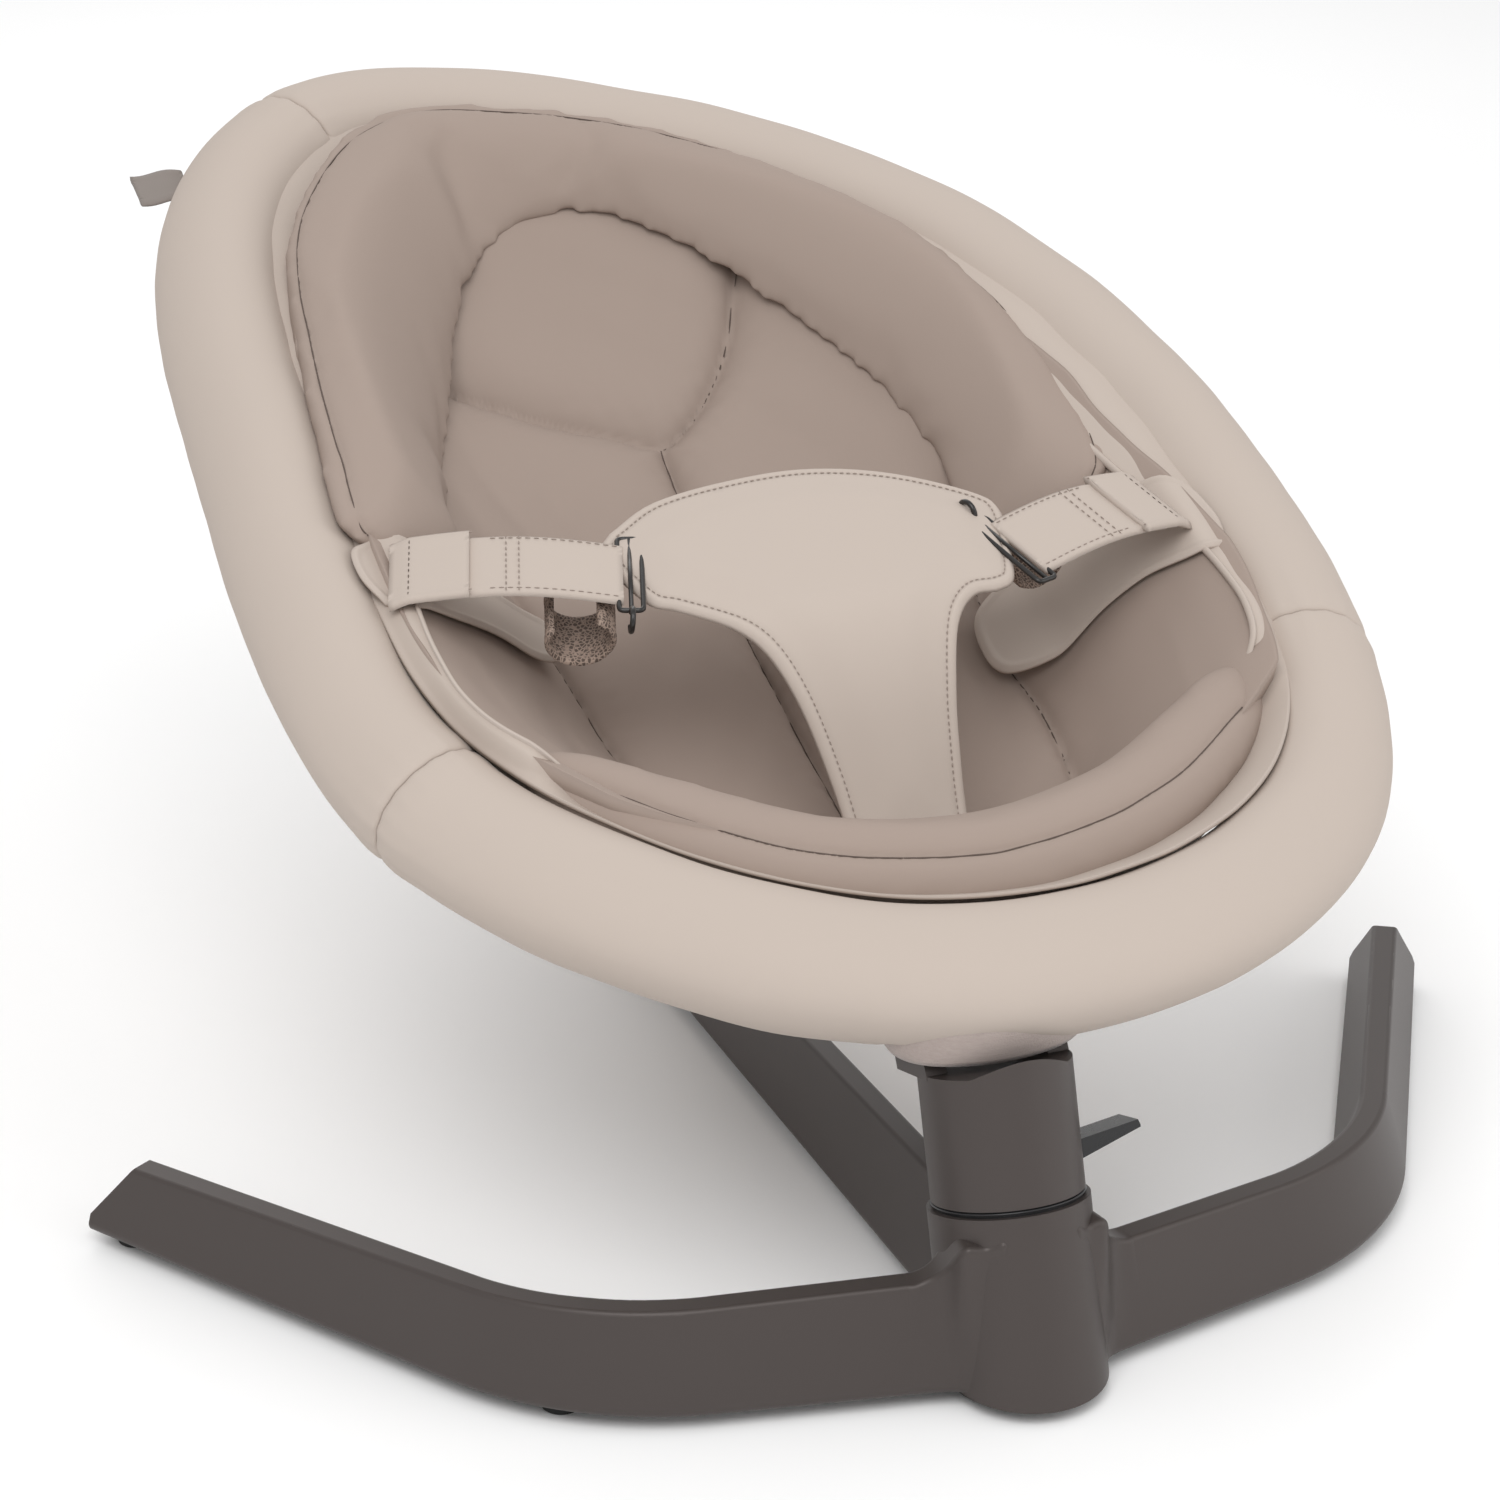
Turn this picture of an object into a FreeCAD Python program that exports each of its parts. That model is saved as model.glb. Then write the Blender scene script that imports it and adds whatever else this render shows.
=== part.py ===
import FreeCAD, Part
import math
import os

# Swaying bouncer seat: a cast three-legged base, a post that sways about a leaning axis,
# and a leaf-shaped padded seat that reclines at the post's head.
# Millimetres. +Z up, +Y to the head end, origin on the floor under the hub.

V = FreeCAD.Vector
X_AXIS, Y_AXIS, Z_AXIS = V(1, 0, 0), V(0, 1, 0), V(0, 0, 1)

# ---------------------------------------------------------------- base
foot_height = 6.6             # rubber feet lift the casting off the floor
leg_sweep_deg = 11.9          # front legs leave the hub this far behind the X axis
leg_inner_length = 139.5      # straight run from the hub centre to the bend
leg_bend_radius = 138.0
leg_bend_deg = 46.2
leg_outer_length = 195.0      # straight run from the bend to the top of the tip
leg_top_half = 6.0            # half width of a leg's top face
leg_bottom_half = 18.75       # half width at the bottom
leg_top_round = 2.5
leg_bottom_round = 4.0
leg_height_hub = 57.3         # top of a leg above the floor at the hub
leg_height_bend = 52.4
leg_height_tip = 41.5
leg_end_slant = 20.6          # the end face's foot reaches this far past its top
flare_height = 20.0           # legs rise and widen into the hub by these fillets
flare_width = 15.0
flare_wall = 34.0             # the rise starts here, from the hub's centre
flare_runs = (12.0, 20.0, 27.0, 31.0, 34.5, 38.0, 42.0, 47.0, 54.0)
rear_flare_shift = 11.0       # the leaning hub is further back at the rear leg
rear_leg_length = 505.0       # from the hub centre to the top of the tip
rear_leg_height_hub = 60.0
rear_leg_height_tip = 43.5

hub_radius = 36.0
hub_foot_radius = 32.0
hub_foot_y = 6.0
leg_foot_radius = 9.0
leg_foot_inset = 14.0         # foot centre back from the end of a leg
bend_foot_s = 205.0           # run along a front leg to its bend foot

# ---------------------------------------------------------------- sway axis and post
axis_tilt_deg = 17.0          # the axis leans back
axis_y, axis_z = 21.0, 81.0   # centre of the running gap between hub and post
gap_half = 1.5
post_radius = 34.0
post_wall = 4.0
post_top = 56.0               # along the axis, from the gap's centre
post_floor = 5.0              # thickness of the floor inside the sleeve
shaft_radius = 10.0
shaft_bottom, shaft_top = -69.0, 30.0
running = 0.05                # radial clearance of a running fit
bearing_outer, bearing_width = 24.0, 11.0
bearing_track = 17.0
ball_radius, ball_count = 2.9, 9
upper_bearing_h, lower_bearing_h = -22.0, -61.0
bore_shoulder_radius = 18.5
hub_cavity_radius = 27.0
lock_ring_inner, lock_ring_outer, lock_ring_depth = 12.5, 30.0, 8.0
lock_hole_count, lock_step_deg = 5, 10.0
lock_bolt_radius, lock_bolt_track = 3.0, 22.0
lock_clear = 0.3

# ---------------------------------------------------------------- lock lever
lever_dir_deg = 8.0           # direction in which it leaves the post, behind +X
lever_h = 13.5                # height of its pin above the gap
lever_pin_track = 24.0
lever_reach = 66.0            # tip, from the sway axis
lever_width, lever_root, lever_tip = 15.0, 10.0, 4.5
lever_rise = 3.0
lever_pin_radius = 1.6

# ---------------------------------------------------------------- recline joint
pivot_y, pivot_z = 62.0, 150.0
pivot_pin_radius = 5.0
boss_radius = 13.0
knuckle_half = 17.5
ear_inner, ear_outer = 24.0, 34.0
disc_gap, disc_radius = 0.2, 12.0
head_plate = 3.5
visor_height, visor_depth, visor_clear = 16.0, 62.0, 7.0   # raised front edge of the head
recline_range_deg = 16.0
stem_radius, stem_end = 3.4, 44.5
button_radius, button_start, button_length = 9.0, 38.7, 11.5
button_travel = 3.5
spring_wire = 0.6

# ---------------------------------------------------------------- seat
recline_deg = 20.0
seat_y, seat_z = 50.0, 180.0  # foot end of the rim's centre line
# Rim centre line, leaf shaped: the tip leans to the left of the head end.
# It starts at the left seam and runs by the foot, so the frame and cover part there.
rim_outline = [(-202, 150), (-152, 80), (-17, 1), (181, 50), (239, 233),
               (185, 487), (33, 616), (-122, 638), (-168, 591), (-209, 413), (-218, 240)]
right_seam_at, tip_seam_at = (233, 150), (-128, 639)
seat_centre = (8.0, 300.0)
ring_points = 24
path_spans = 26               # arcs that follow the rim all the way round
rim_radius = 34.0             # padded rim, outside
rim_bore = 15.2               # its foam clears the tube and the joiners
tube_radius, tube_wall = 12.5, 1.8
joiner_radius, joiner_length = 14.6, 46.0
hoop_inset, hoop_depth, hoop_radius, hoop_wall = 30.0, 50.0, 9.0, 1.6
clamp_width, clamp_thick = 14.0, 12.0
tilt_rate = 0.0022            # the bucket is deeper at the foot, per millimetre
sling_thick = 3.0
liner_thick = 26.0
clear = 0.5
bucket_rings = [(45.0, 3.0), (53.0, 36.0), (79.0, 62.0), (119.0, 80.0)]   # inset, depth
liner_top_depth = 12.0
liner_split = 285.0
bolster_inset, bolster_height, bolster_long, bolster_short = 56.0, 28.0, 40.0, 15.0
bolster_lean_deg = 32.0
roll_inset, roll_height, roll_long, roll_short = 64.0, -5.0, 26.0, 16.0
headrest_outline = [(8, 424), (60, 470), (88, 530), (62, 588), (8, 604),
                    (-46, 588), (-78, 530), (-56, 466)]
headrest_thick = 10.0

# ---------------------------------------------------------------- harness
strap_thick, strap_width = 3.0, 42.0
anchor_length = 24.0
left_anchor, left_buckle = V(-181, 266, 32), V(-92, 232, 42)
right_anchor, right_buckle = V(187, 242, 32), V(101, 211, 42)
slider_bar = 2.2
crotch_thick = 8.0
crotch_head = [(-78, 268), (15, 277), (94, 250), (83, 190), (50, 172), (-28, 180), (-77, 208)]
crotch_level = 38.0
crotch_neck, crotch_neck_half = (10, 176, 38), 39.0
crotch_foot, crotch_foot_half = (19, 116, -26), 27.0
crotch_skew = -0.08           # the harness sits a little turned in the seat's plane
label_size = (24.0, 30.0, 1.4)
label_at = V(-206, 618, 2)


# ---------------------------------------------------------------- helpers
def save(name, shape):
    """Write one node."""
    shape.exportStep("parts/" + name + ".step")


def placed(shape, placement):
    result = shape.copy()
    result.Placement = placement.multiply(result.Placement)
    return result


def prism(corners, direction):
    """Solid swept by a flat polygon, its faces always pointing outwards."""
    solid = Part.Face(Part.makePolygon(list(corners) + [corners[0]])).extrude(direction)
    if solid.Volume < 0:
        solid.reverse()
    return solid


def on_axis(shape):
    """Local Z becomes the sway axis, local origin the centre of the running gap."""
    turn = FreeCAD.Rotation(X_AXIS, -axis_tilt_deg)
    return placed(shape, FreeCAD.Placement(V(0, axis_y, axis_z), turn))


def on_seat(shape):
    """Local X, Y, Z become across the seat, up its length and out of its plane."""
    turn = FreeCAD.Rotation(X_AXIS, recline_deg)
    return placed(shape, FreeCAD.Placement(V(0, seat_y, seat_z), turn))


def disc(radius, low, high, at=V(0, 0, 0)):
    return Part.makeCylinder(radius, high - low, at + V(0, 0, low), Z_AXIS)


def ring(outer, inner, low, high):
    return disc(outer, low, high).cut(disc(inner, low - 1, high + 1))


def x_rod(radius, low, high, y, z):
    return Part.makeCylinder(radius, high - low, V(low, y, z), X_AXIS)


def rounded_wire(corners, radii, place):
    """Closed wire through 2-D corners with rounded corners, set in space by place(a, b)."""
    count = len(corners)
    edges, ends = [], []
    for i in range(count):
        p = V(corners[i][0], corners[i][1], 0)
        before = V(corners[i - 1][0], corners[i - 1][1], 0) - p
        after = V(corners[(i + 1) % count][0], corners[(i + 1) % count][1], 0) - p
        before.normalize()
        after.normalize()
        half = before.getAngle(after) / 2
        run = radii[i] / math.tan(half)
        middle = before + after
        middle.normalize()
        top = p + middle * (radii[i] / math.sin(half) - radii[i])
        ends.append((p + before * run, top, p + after * run))
    for i in range(count):
        start, top, end = (place(q.x, q.y) for q in ends[i])
        following = ends[(i + 1) % count][0]
        edges.append(Part.Arc(start, top, end).toShape())
        edges.append(Part.LineSegment(end, place(following.x, following.y)).toShape())
    return Part.Wire(edges)


def hull_plate(circles, low, high):
    """Plate across X whose side view is the hull of circles (y, z, radius)."""
    solid = None
    for i, (y0, z0, r0) in enumerate(circles):
        y1, z1, r1 = circles[(i + 1) % len(circles)]
        boss = x_rod(r0, low, high, y0, z0)
        solid = boss if solid is None else solid.fuse(boss)
        run = math.hypot(y1 - y0, z1 - z0)
        angle = math.atan2(z1 - z0, y1 - y0)
        lean = math.acos((r0 - r1) / run)
        corners = []
        for side in (1, -1):
            a = angle + side * lean
            corners.append((V(low, y0 + r0 * math.cos(a), z0 + r0 * math.sin(a)),
                            V(low, y1 + r1 * math.cos(a), z1 + r1 * math.sin(a))))
        loop = [corners[0][0], corners[0][1], corners[1][1], corners[1][0]]
        solid = solid.fuse(prism(loop, V(high - low, 0, 0)))
    if len(circles) > 2:
        solid = solid.fuse(prism([V(low, y, z) for y, z, r in circles], V(high - low, 0, 0)))
    return solid.removeSplitter()


# ---------------------------------------------------------------- legs
def fillet_rise(distance, size):
    """Extra height of a concave fillet of this size, at a distance from its wall."""
    if distance >= size:
        return 0.0
    return size - math.sqrt(size * size - (size - distance) ** 2)


def leg_section(point, heading, top_half, bottom_half, top):
    """Trapezium across a leg, rounded at its corners."""
    side = V(heading.y, -heading.x, 0)
    corners = [(-bottom_half, foot_height), (bottom_half, foot_height), (top_half, top), (-top_half, top)]
    radii = [leg_bottom_round, leg_bottom_round, leg_top_round, leg_top_round]
    return rounded_wire(corners, radii, lambda a, b: V(point.x, point.y, 0) + side * a + V(0, 0, b))


def leg_run(stations, ruled):
    return Part.makeLoft([leg_section(*item) for item in stations], True, ruled)


def flare_half(run, half):
    """Half width of a leg where a round fillet joins it to the hub."""
    centre = math.sqrt((hub_radius + flare_width) ** 2 - (half + flare_width) ** 2)
    touch = hub_radius / (hub_radius + flare_width) * centre
    at = min(max(run, touch), centre)
    return half + flare_width - math.sqrt(flare_width ** 2 - (centre - at) ** 2)


def flare_stations(heading, shift, height_at):
    """Sections of a leg where it rises and widens into the hub, which is shifted along it."""
    stations = []
    for run in flare_runs:
        rise = fillet_rise(max(0.0, run - flare_wall), flare_height)
        stations.append((heading * (run + shift), heading, flare_half(run, leg_top_half),
                         flare_half(run, leg_bottom_half), height_at(run + shift) + rise))
    return stations


def end_cut(point, heading, top):
    """Tool that slants the end face of a leg: its foot reaches past its top."""
    side = V(heading.y, -heading.x, 0) * 60
    upright = foot_height + 9.0
    toe = point + heading * leg_end_slant
    outline = [V(toe.x, toe.y, -5), V(toe.x, toe.y, upright), V(point.x, point.y, top + 0.5)]
    outline.append(V(point.x, point.y, top + 40) - heading * leg_end_slant)
    far = toe + heading * 60
    outline += [V(far.x, far.y, top + 40), V(far.x, far.y, -5)]
    return prism([p - side for p in outline], side * 2)


bend_run = leg_bend_radius * math.radians(leg_bend_deg)
leg_mid_run = leg_inner_length + bend_run / 2
leg_run_total = leg_inner_length + bend_run + leg_outer_length


def front_leg_height(run):
    if run < leg_mid_run:
        return leg_height_hub + (leg_height_bend - leg_height_hub) * run / leg_mid_run
    part = (run - leg_mid_run) / (leg_run_total - leg_mid_run)
    return leg_height_bend + (leg_height_tip - leg_height_bend) * part


def rear_leg_height(run):
    return rear_leg_height_hub + (rear_leg_height_tip - rear_leg_height_hub) * run / rear_leg_length


def front_leg_point(run):
    """Centre line of the right front leg: straight, bend, straight."""
    a0 = math.radians(leg_sweep_deg)
    first = V(math.cos(a0), math.sin(a0), 0)
    if run <= leg_inner_length:
        return first * run, first
    centre = first * leg_inner_length + V(-first.y, first.x, 0) * leg_bend_radius
    turn = min(run - leg_inner_length, bend_run) / leg_bend_radius
    a = a0 + turn
    heading = V(math.cos(a), math.sin(a), 0)
    point = centre + V(heading.y, -heading.x, 0) * leg_bend_radius
    return point + heading * max(0.0, run - leg_inner_length - bend_run), heading


def plain_station(run):
    point, heading = front_leg_point(run)
    return point, heading, leg_top_half, leg_bottom_half, front_leg_height(run)


def make_front_leg(hub_cutter):
    heading, flare_end = front_leg_point(0)[1], flare_runs[-1]
    bend_end = leg_inner_length + bend_run
    steps = 8
    bend = [plain_station(leg_inner_length + bend_run * i / steps) for i in range(steps + 1)]
    solid = leg_run(flare_stations(heading, 0.0, front_leg_height), False)
    solid = solid.fuse(leg_run([plain_station(flare_end), plain_station(leg_inner_length)], True))
    solid = solid.fuse(leg_run(bend, False))
    solid = solid.fuse(leg_run([plain_station(bend_end), plain_station(leg_run_total + leg_end_slant)], True))
    tip, tip_heading = front_leg_point(leg_run_total)
    return solid.cut(end_cut(tip, tip_heading, leg_height_tip)).cut(hub_cutter)


def make_rear_leg(hub_cutter):
    stations = flare_stations(Y_AXIS, rear_flare_shift, rear_leg_height)
    flare_end = flare_runs[-1] + rear_flare_shift
    straight = []
    for run in (flare_end, rear_leg_length + leg_end_slant):
        straight.append((Y_AXIS * run, Y_AXIS, leg_top_half, leg_bottom_half, rear_leg_height(run)))
    solid = leg_run(stations, False).fuse(leg_run(straight, True))
    return solid.cut(end_cut(Y_AXIS * rear_leg_length, Y_AXIS, rear_leg_height_tip)).cut(hub_cutter)


def mirrored(shape):
    return shape.mirror(V(0, 0, 0), X_AXIS)


# ---------------------------------------------------------------- base
def make_base():
    floor_cut = Part.makeBox(400, 400, 200, V(-200, -200, foot_height - 200))
    body = on_axis(disc(hub_radius, -110, -gap_half)).cut(floor_cut)
    hub_cutter = on_axis(disc(hub_radius, -130, 60))
    cavity = disc(lock_ring_outer, -gap_half - lock_ring_depth, 5)
    cavity = cavity.fuse(disc(bearing_outer, upper_bearing_h, 0))
    cavity = cavity.fuse(disc(bore_shoulder_radius, lower_bearing_h, 0))
    cavity = cavity.fuse(disc(bearing_outer, lower_bearing_h - 2, lower_bearing_h + bearing_width))
    cavity = cavity.fuse(disc(hub_cavity_radius, -110, lower_bearing_h))
    save("hub_casting", body.cut(on_axis(cavity)))
    leg = make_front_leg(hub_cutter)
    rear = make_rear_leg(hub_cutter)
    save("right_leg", leg)
    save("left_leg", mirrored(leg))
    save("rear_leg", rear)

    holes = []
    for k in range(lock_hole_count):
        turn = lever_dir_deg + (k - (lock_hole_count - 1) / 2) * lock_step_deg
        at = V(lock_bolt_track * math.cos(math.radians(turn)), lock_bolt_track * math.sin(math.radians(turn)), 0)
        holes.append(disc(lock_bolt_radius + lock_clear, -40, 5, at))
    plate = ring(lock_ring_outer, lock_ring_inner, -gap_half - lock_ring_depth, -gap_half)
    for hole in holes:
        plate = plate.cut(hole)
    save("lock_ring", on_axis(plate))
    wear_ring = ring(post_radius - 1.2, lock_ring_outer - 1.5, -gap_half, gap_half - 0.25)
    save("gap_ring", on_axis(wear_ring))

    for name, low in (("upper", upper_bearing_h), ("lower", lower_bearing_h)):
        high = low + bearing_width
        save(name + "_bearing_outer", on_axis(ring(bearing_outer, bearing_track + ball_radius + 0.1, low, high)))
        balls = []
        for k in range(ball_count):
            a = 2 * math.pi * k / ball_count
            at = V(bearing_track * math.cos(a), bearing_track * math.sin(a), (low + high) / 2)
            balls.append(Part.makeSphere(ball_radius, at))
        save(name + "_bearing_balls", on_axis(Part.makeCompound(balls)))
        inner = ring(bearing_track - ball_radius - 0.15, shaft_radius, low, high)
        save(name + "_bearing_inner", on_axis(inner))

    save("hub_foot", disc(hub_foot_radius, 0, foot_height, V(0, hub_foot_y, 0)))
    feet = []
    for run in (leg_run_total + leg_end_slant - leg_foot_inset, bend_foot_s):
        point = front_leg_point(run)[0]
        for side in (1, -1):
            feet.append(disc(leg_foot_radius, 0, foot_height, V(side * point.x, point.y, 0)))
    rear_at = V(0, rear_leg_length + leg_end_slant - leg_foot_inset, 0)
    feet.append(disc(leg_foot_radius, 0, foot_height, rear_at))
    save("leg_feet", Part.makeCompound(feet))


# ---------------------------------------------------------------- post
def lever_frame(shape):
    """Local X points out along the lever from the sway axis, local Z up the axis."""
    turned = placed(shape, FreeCAD.Placement(V(0, 0, 0), FreeCAD.Rotation(Z_AXIS, lever_dir_deg)))
    return on_axis(turned)


def make_post():
    sleeve = ring(post_radius, post_radius - post_wall, gap_half, post_top)
    sleeve = sleeve.fuse(ring(post_radius - 1, shaft_radius, gap_half, gap_half + post_floor))
    window = Part.makeBox(20, lever_width + 2, lever_h, V(post_radius - 14, -lever_width / 2 - 1, gap_half + post_floor))
    bolt_hole = disc(lock_bolt_radius + 0.1, -5, 12, V(lock_bolt_track, 0, 0))
    turn = FreeCAD.Rotation(Z_AXIS, lever_dir_deg)
    for tool in (window, bolt_hole):
        sleeve = sleeve.cut(placed(tool, FreeCAD.Placement(V(0, 0, 0), turn)))
    save("post_sleeve", on_axis(sleeve))

    shaft = disc(shaft_radius, shaft_bottom, shaft_top)
    shaft = shaft.cut(ring(shaft_radius + 1, shaft_radius - 1, lower_bearing_h - 2.2, lower_bearing_h - 0.7))
    save("pivot_shaft", on_axis(shaft))
    save("shaft_circlip", on_axis(ring(shaft_radius + 2.5, shaft_radius - 1, lower_bearing_h - 2.1, lower_bearing_h - 0.8)))
    save("shaft_nut", on_axis(ring(shaft_radius + 6, shaft_radius, gap_half + post_floor, gap_half + post_floor + 7)))

    bolt_low = gap_half - 0.8
    bolt = disc(lock_bolt_radius, bolt_low, lever_h - 4.6, V(lock_bolt_track, 0, 0))
    save("lock_bolt", lever_frame(bolt))
    inner_x = lever_pin_track - 4.0
    side = [V(inner_x, 0, lever_h - 4), V(inner_x, 0, lever_h + 4), V(post_radius, 0, lever_h + lever_root / 2),
            V(lever_reach, 0, lever_h + lever_rise + lever_tip), V(lever_reach + 1.5, 0, lever_h + lever_rise + 1),
            V(post_radius, 0, lever_h - lever_root / 2 + 1)]
    lever = prism(side, V(0, lever_width, 0))
    lever.translate(V(0, -lever_width / 2, 0))
    lever = lever.cut(Part.makeCylinder(lever_pin_radius + running, 60, V(lever_pin_track, -30, lever_h), Y_AXIS))
    tip_round = disc(lever_reach + 1.5, -5, 60).common(Part.makeBox(200, 200, 90, V(0, -100, -10)))
    save("lock_lever", lever_frame(lever.common(tip_round)))
    pin = Part.makeCylinder(lever_pin_radius, lever_width + 8, V(lever_pin_track, -lever_width / 2 - 4, lever_h), Y_AXIS)
    save("lever_pin", lever_frame(pin))
    cheeks = []
    for side_sign in (1, -1):
        low = lever_width / 2 + 1.0 if side_sign > 0 else -lever_width / 2 - 4.0
        cheek = Part.makeBox(9, 3.0, lever_h + 3 - gap_half - post_floor, V(lever_pin_track - 5.5, low, gap_half + post_floor))
        bore = Part.makeCylinder(lever_pin_radius, 60, V(lever_pin_track, -30, lever_h), Y_AXIS)
        cheeks.append(cheek.cut(bore))
    save("lever_bracket", lever_frame(Part.makeCompound(cheeks)))


# ---------------------------------------------------------------- recline joint
def make_recline():
    plate = on_axis(disc(post_radius, post_top, post_top + head_plate))
    spigot = on_axis(ring(post_radius - post_wall, post_radius - post_wall - 4, post_top - 8, post_top))
    head = plate.fuse(spigot)
    foot_centre = V(0, axis_y + post_top * math.sin(math.radians(axis_tilt_deg)) + 12,
                    axis_z + post_top * math.cos(math.radians(axis_tilt_deg)) - 2)
    for low, high in ((ear_inner, ear_outer), (-ear_outer, -ear_inner)):
        ear = hull_plate([(pivot_y, pivot_z, boss_radius), (foot_centre.y, foot_centre.z, 16.0)], low, high)
        ear = ear.cut(on_axis(disc(200, -200, post_top + head_plate / 2)))
        head = head.fuse(ear.common(on_axis(disc(post_radius + 12, 0, 200))))
    head = head.cut(x_rod(pivot_pin_radius, -60, 60, pivot_y, pivot_z))
    lip = on_axis(ring(post_radius, post_radius - post_wall, post_top + head_plate - 1, post_top + visor_height))
    lip = lip.common(Part.makeBox(120, visor_depth, 120, V(-60, -40, 100)))
    for k in range(5):
        turn = math.radians(recline_range_deg * k / 4)
        y = seat_y - pivot_y
        z = seat_z - pivot_z
        lip = lip.cut(x_rod(rim_radius + visor_clear, -60, 60, pivot_y + y * math.cos(turn) - z * math.sin(turn),
                            pivot_z + y * math.sin(turn) + z * math.cos(turn)))
    save("mount_head", head.fuse(lip).removeSplitter())

    pin = x_rod(pivot_pin_radius, -ear_outer, ear_outer, pivot_y, pivot_z)
    pin = pin.fuse(x_rod(pivot_pin_radius + 2.5, -ear_outer - 3, -ear_outer, pivot_y, pivot_z))
    pin = pin.fuse(x_rod(stem_radius, ear_outer, stem_end, pivot_y, pivot_z))
    save("recline_pin", pin)
    discs = []
    for low, high in ((knuckle_half + disc_gap, ear_inner), (-ear_inner, -knuckle_half - disc_gap)):
        discs.append(x_rod(disc_radius, low, high, pivot_y, pivot_z).cut(x_rod(pivot_pin_radius, -60, 60, pivot_y, pivot_z)))
    save("friction_discs", Part.makeCompound(discs))
    button_end = button_start + button_length
    button = x_rod(button_radius, button_start, button_end, pivot_y, pivot_z)
    button = button.makeFillet(1.5, [e for e in button.Edges if e.BoundBox.XMin > button_end - 0.1])
    button = button.cut(x_rod(stem_radius + 0.2, button_start - 1, stem_end + button_travel + 0.6, pivot_y, pivot_z))
    button = button.cut(x_rod(button_radius - 1.8, button_start - 1, stem_end + 1, pivot_y, pivot_z))
    save("recline_button", button)
    turns = []
    spring_mid = (button_radius - 1.8 + stem_radius) / 2
    for k in range(4):
        x = ear_outer + 1.0 + k * 1.7
        turns.append(Part.makeTorus(spring_mid, spring_wire, V(x, pivot_y, pivot_z), X_AXIS))
    save("button_spring", Part.makeCompound(turns))


# ---------------------------------------------------------------- seat outline
def closed_curve(points):
    curve = Part.BSplineCurve()
    curve.interpolate(Points=points, PeriodicFlag=True)
    return curve


rim_curve = closed_curve([V(u, s, 0) for u, s in rim_outline])


def rim_parameter(share):
    return rim_curve.FirstParameter + (rim_curve.LastParameter - rim_curve.FirstParameter) * share


def rim_share_near(u, s):
    """Share of the way round the rim that is nearest to a point of the seat plane."""
    span = rim_curve.LastParameter - rim_curve.FirstParameter
    return (rim_curve.parameter(V(u, s, 0)) - rim_curve.FirstParameter) / span


def inset_point(share, inset, level):
    """Point inside the rim's centre line, moved towards the seat's centre."""
    p = rim_curve.value(rim_parameter(share % 1.0))
    inward = V(seat_centre[0] - p.x, seat_centre[1] - p.y, 0)
    inward.normalize()
    q = p + inward * inset
    return V(q.x, q.y, level)


def bucket_level(s, depth):
    return -depth * (1 - tilt_rate * (s - seat_centre[1]))


def bucket_ring(inset, depth):
    points = []
    for k in range(ring_points):
        q = inset_point(k / ring_points, inset, 0)
        points.append(V(q.x, q.y, bucket_level(q.y, depth)))
    return Part.Wire([closed_curve(points).toShape()])


def bucket_solid(offset, top_depth):
    """Solid that fills the bucket up to top_depth, its wall moved inwards by offset."""
    (high_inset, high_depth), (low_inset, low_depth) = bucket_rings[:2]
    low_depth = low_depth - offset
    slope = (low_inset - high_inset) / (low_depth - high_depth)
    rings = [bucket_ring(high_inset + offset + slope * (top_depth - high_depth), top_depth)]
    for inset, depth in bucket_rings[1:]:
        rings.append(bucket_ring(inset + offset, depth - offset))
    return Part.makeLoft(rings, True, True)


def arc_pair(start, start_way, end, end_way):
    """Two tangent arcs that leave start along start_way and reach end along end_way."""
    chord, ways = end - start, start_way + end_way
    spread = 2 * (1 - start_way.dot(end_way))
    if spread < 1e-9:
        reach = chord.dot(chord) / (4 * chord.dot(end_way))
    else:
        reach = (math.sqrt(chord.dot(ways) ** 2 + spread * chord.dot(chord)) - chord.dot(ways)) / spread
    joint = (start + end + (start_way - end_way) * reach) * 0.5
    return [tangent_arc(start, start_way, joint), tangent_arc(joint, end_way * -1, end, end_way)]


def tangent_arc(start, way, end, end_way=None):
    """Arc between two points, tangent to way at its start or to end_way at its end."""
    pivot, heading = (start, way) if end_way is None else (end, end_way)
    chord = end - start
    side = chord - heading * chord.dot(heading)
    if side.Length < 1e-4:
        return Part.LineSegment(start, end).toShape()
    side.normalize()
    toward = chord if end_way is None else chord * -1
    sign = 1 if toward.dot(side) > 0 else -1
    radius = toward.dot(toward) / (2 * abs(toward.dot(side)))
    centre = pivot + side * (sign * radius)
    middle = (start + end) * 0.5 - centre
    middle.normalize()
    return Part.Arc(start, centre + middle * radius, end).toShape()


def rim_path(first, last, inset=0.0, level=0.0):
    """Tangent arcs along the rim, or inside it, between two shares of the way round."""
    spans = max(2, math.ceil((last - first) * path_spans))
    nodes = []
    for k in range(spans + 1):
        share = first + (last - first) * k / spans
        step = 1e-4
        way = inset_point(share + step, inset, level) - inset_point(share - step, inset, level)
        way.normalize()
        nodes.append((inset_point(share, inset, level), way))
    edges = []
    for (p, p_way), (q, q_way) in zip(nodes, nodes[1:]):
        edges += arc_pair(p, p_way, q, q_way)
    return Part.Wire(edges), nodes[0]


def swept(path, section):
    """Sweep a section along a path; section(point, way) gives its wire."""
    wire, (point, way) = path
    solid = wire.makePipeShell([section(point, way)], True, False)
    if solid.Volume < 0:
        solid.reverse()
    return solid


def round_section(radius):
    return lambda point, tangent: Part.Wire([Part.makeCircle(radius, point, tangent)])


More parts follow.
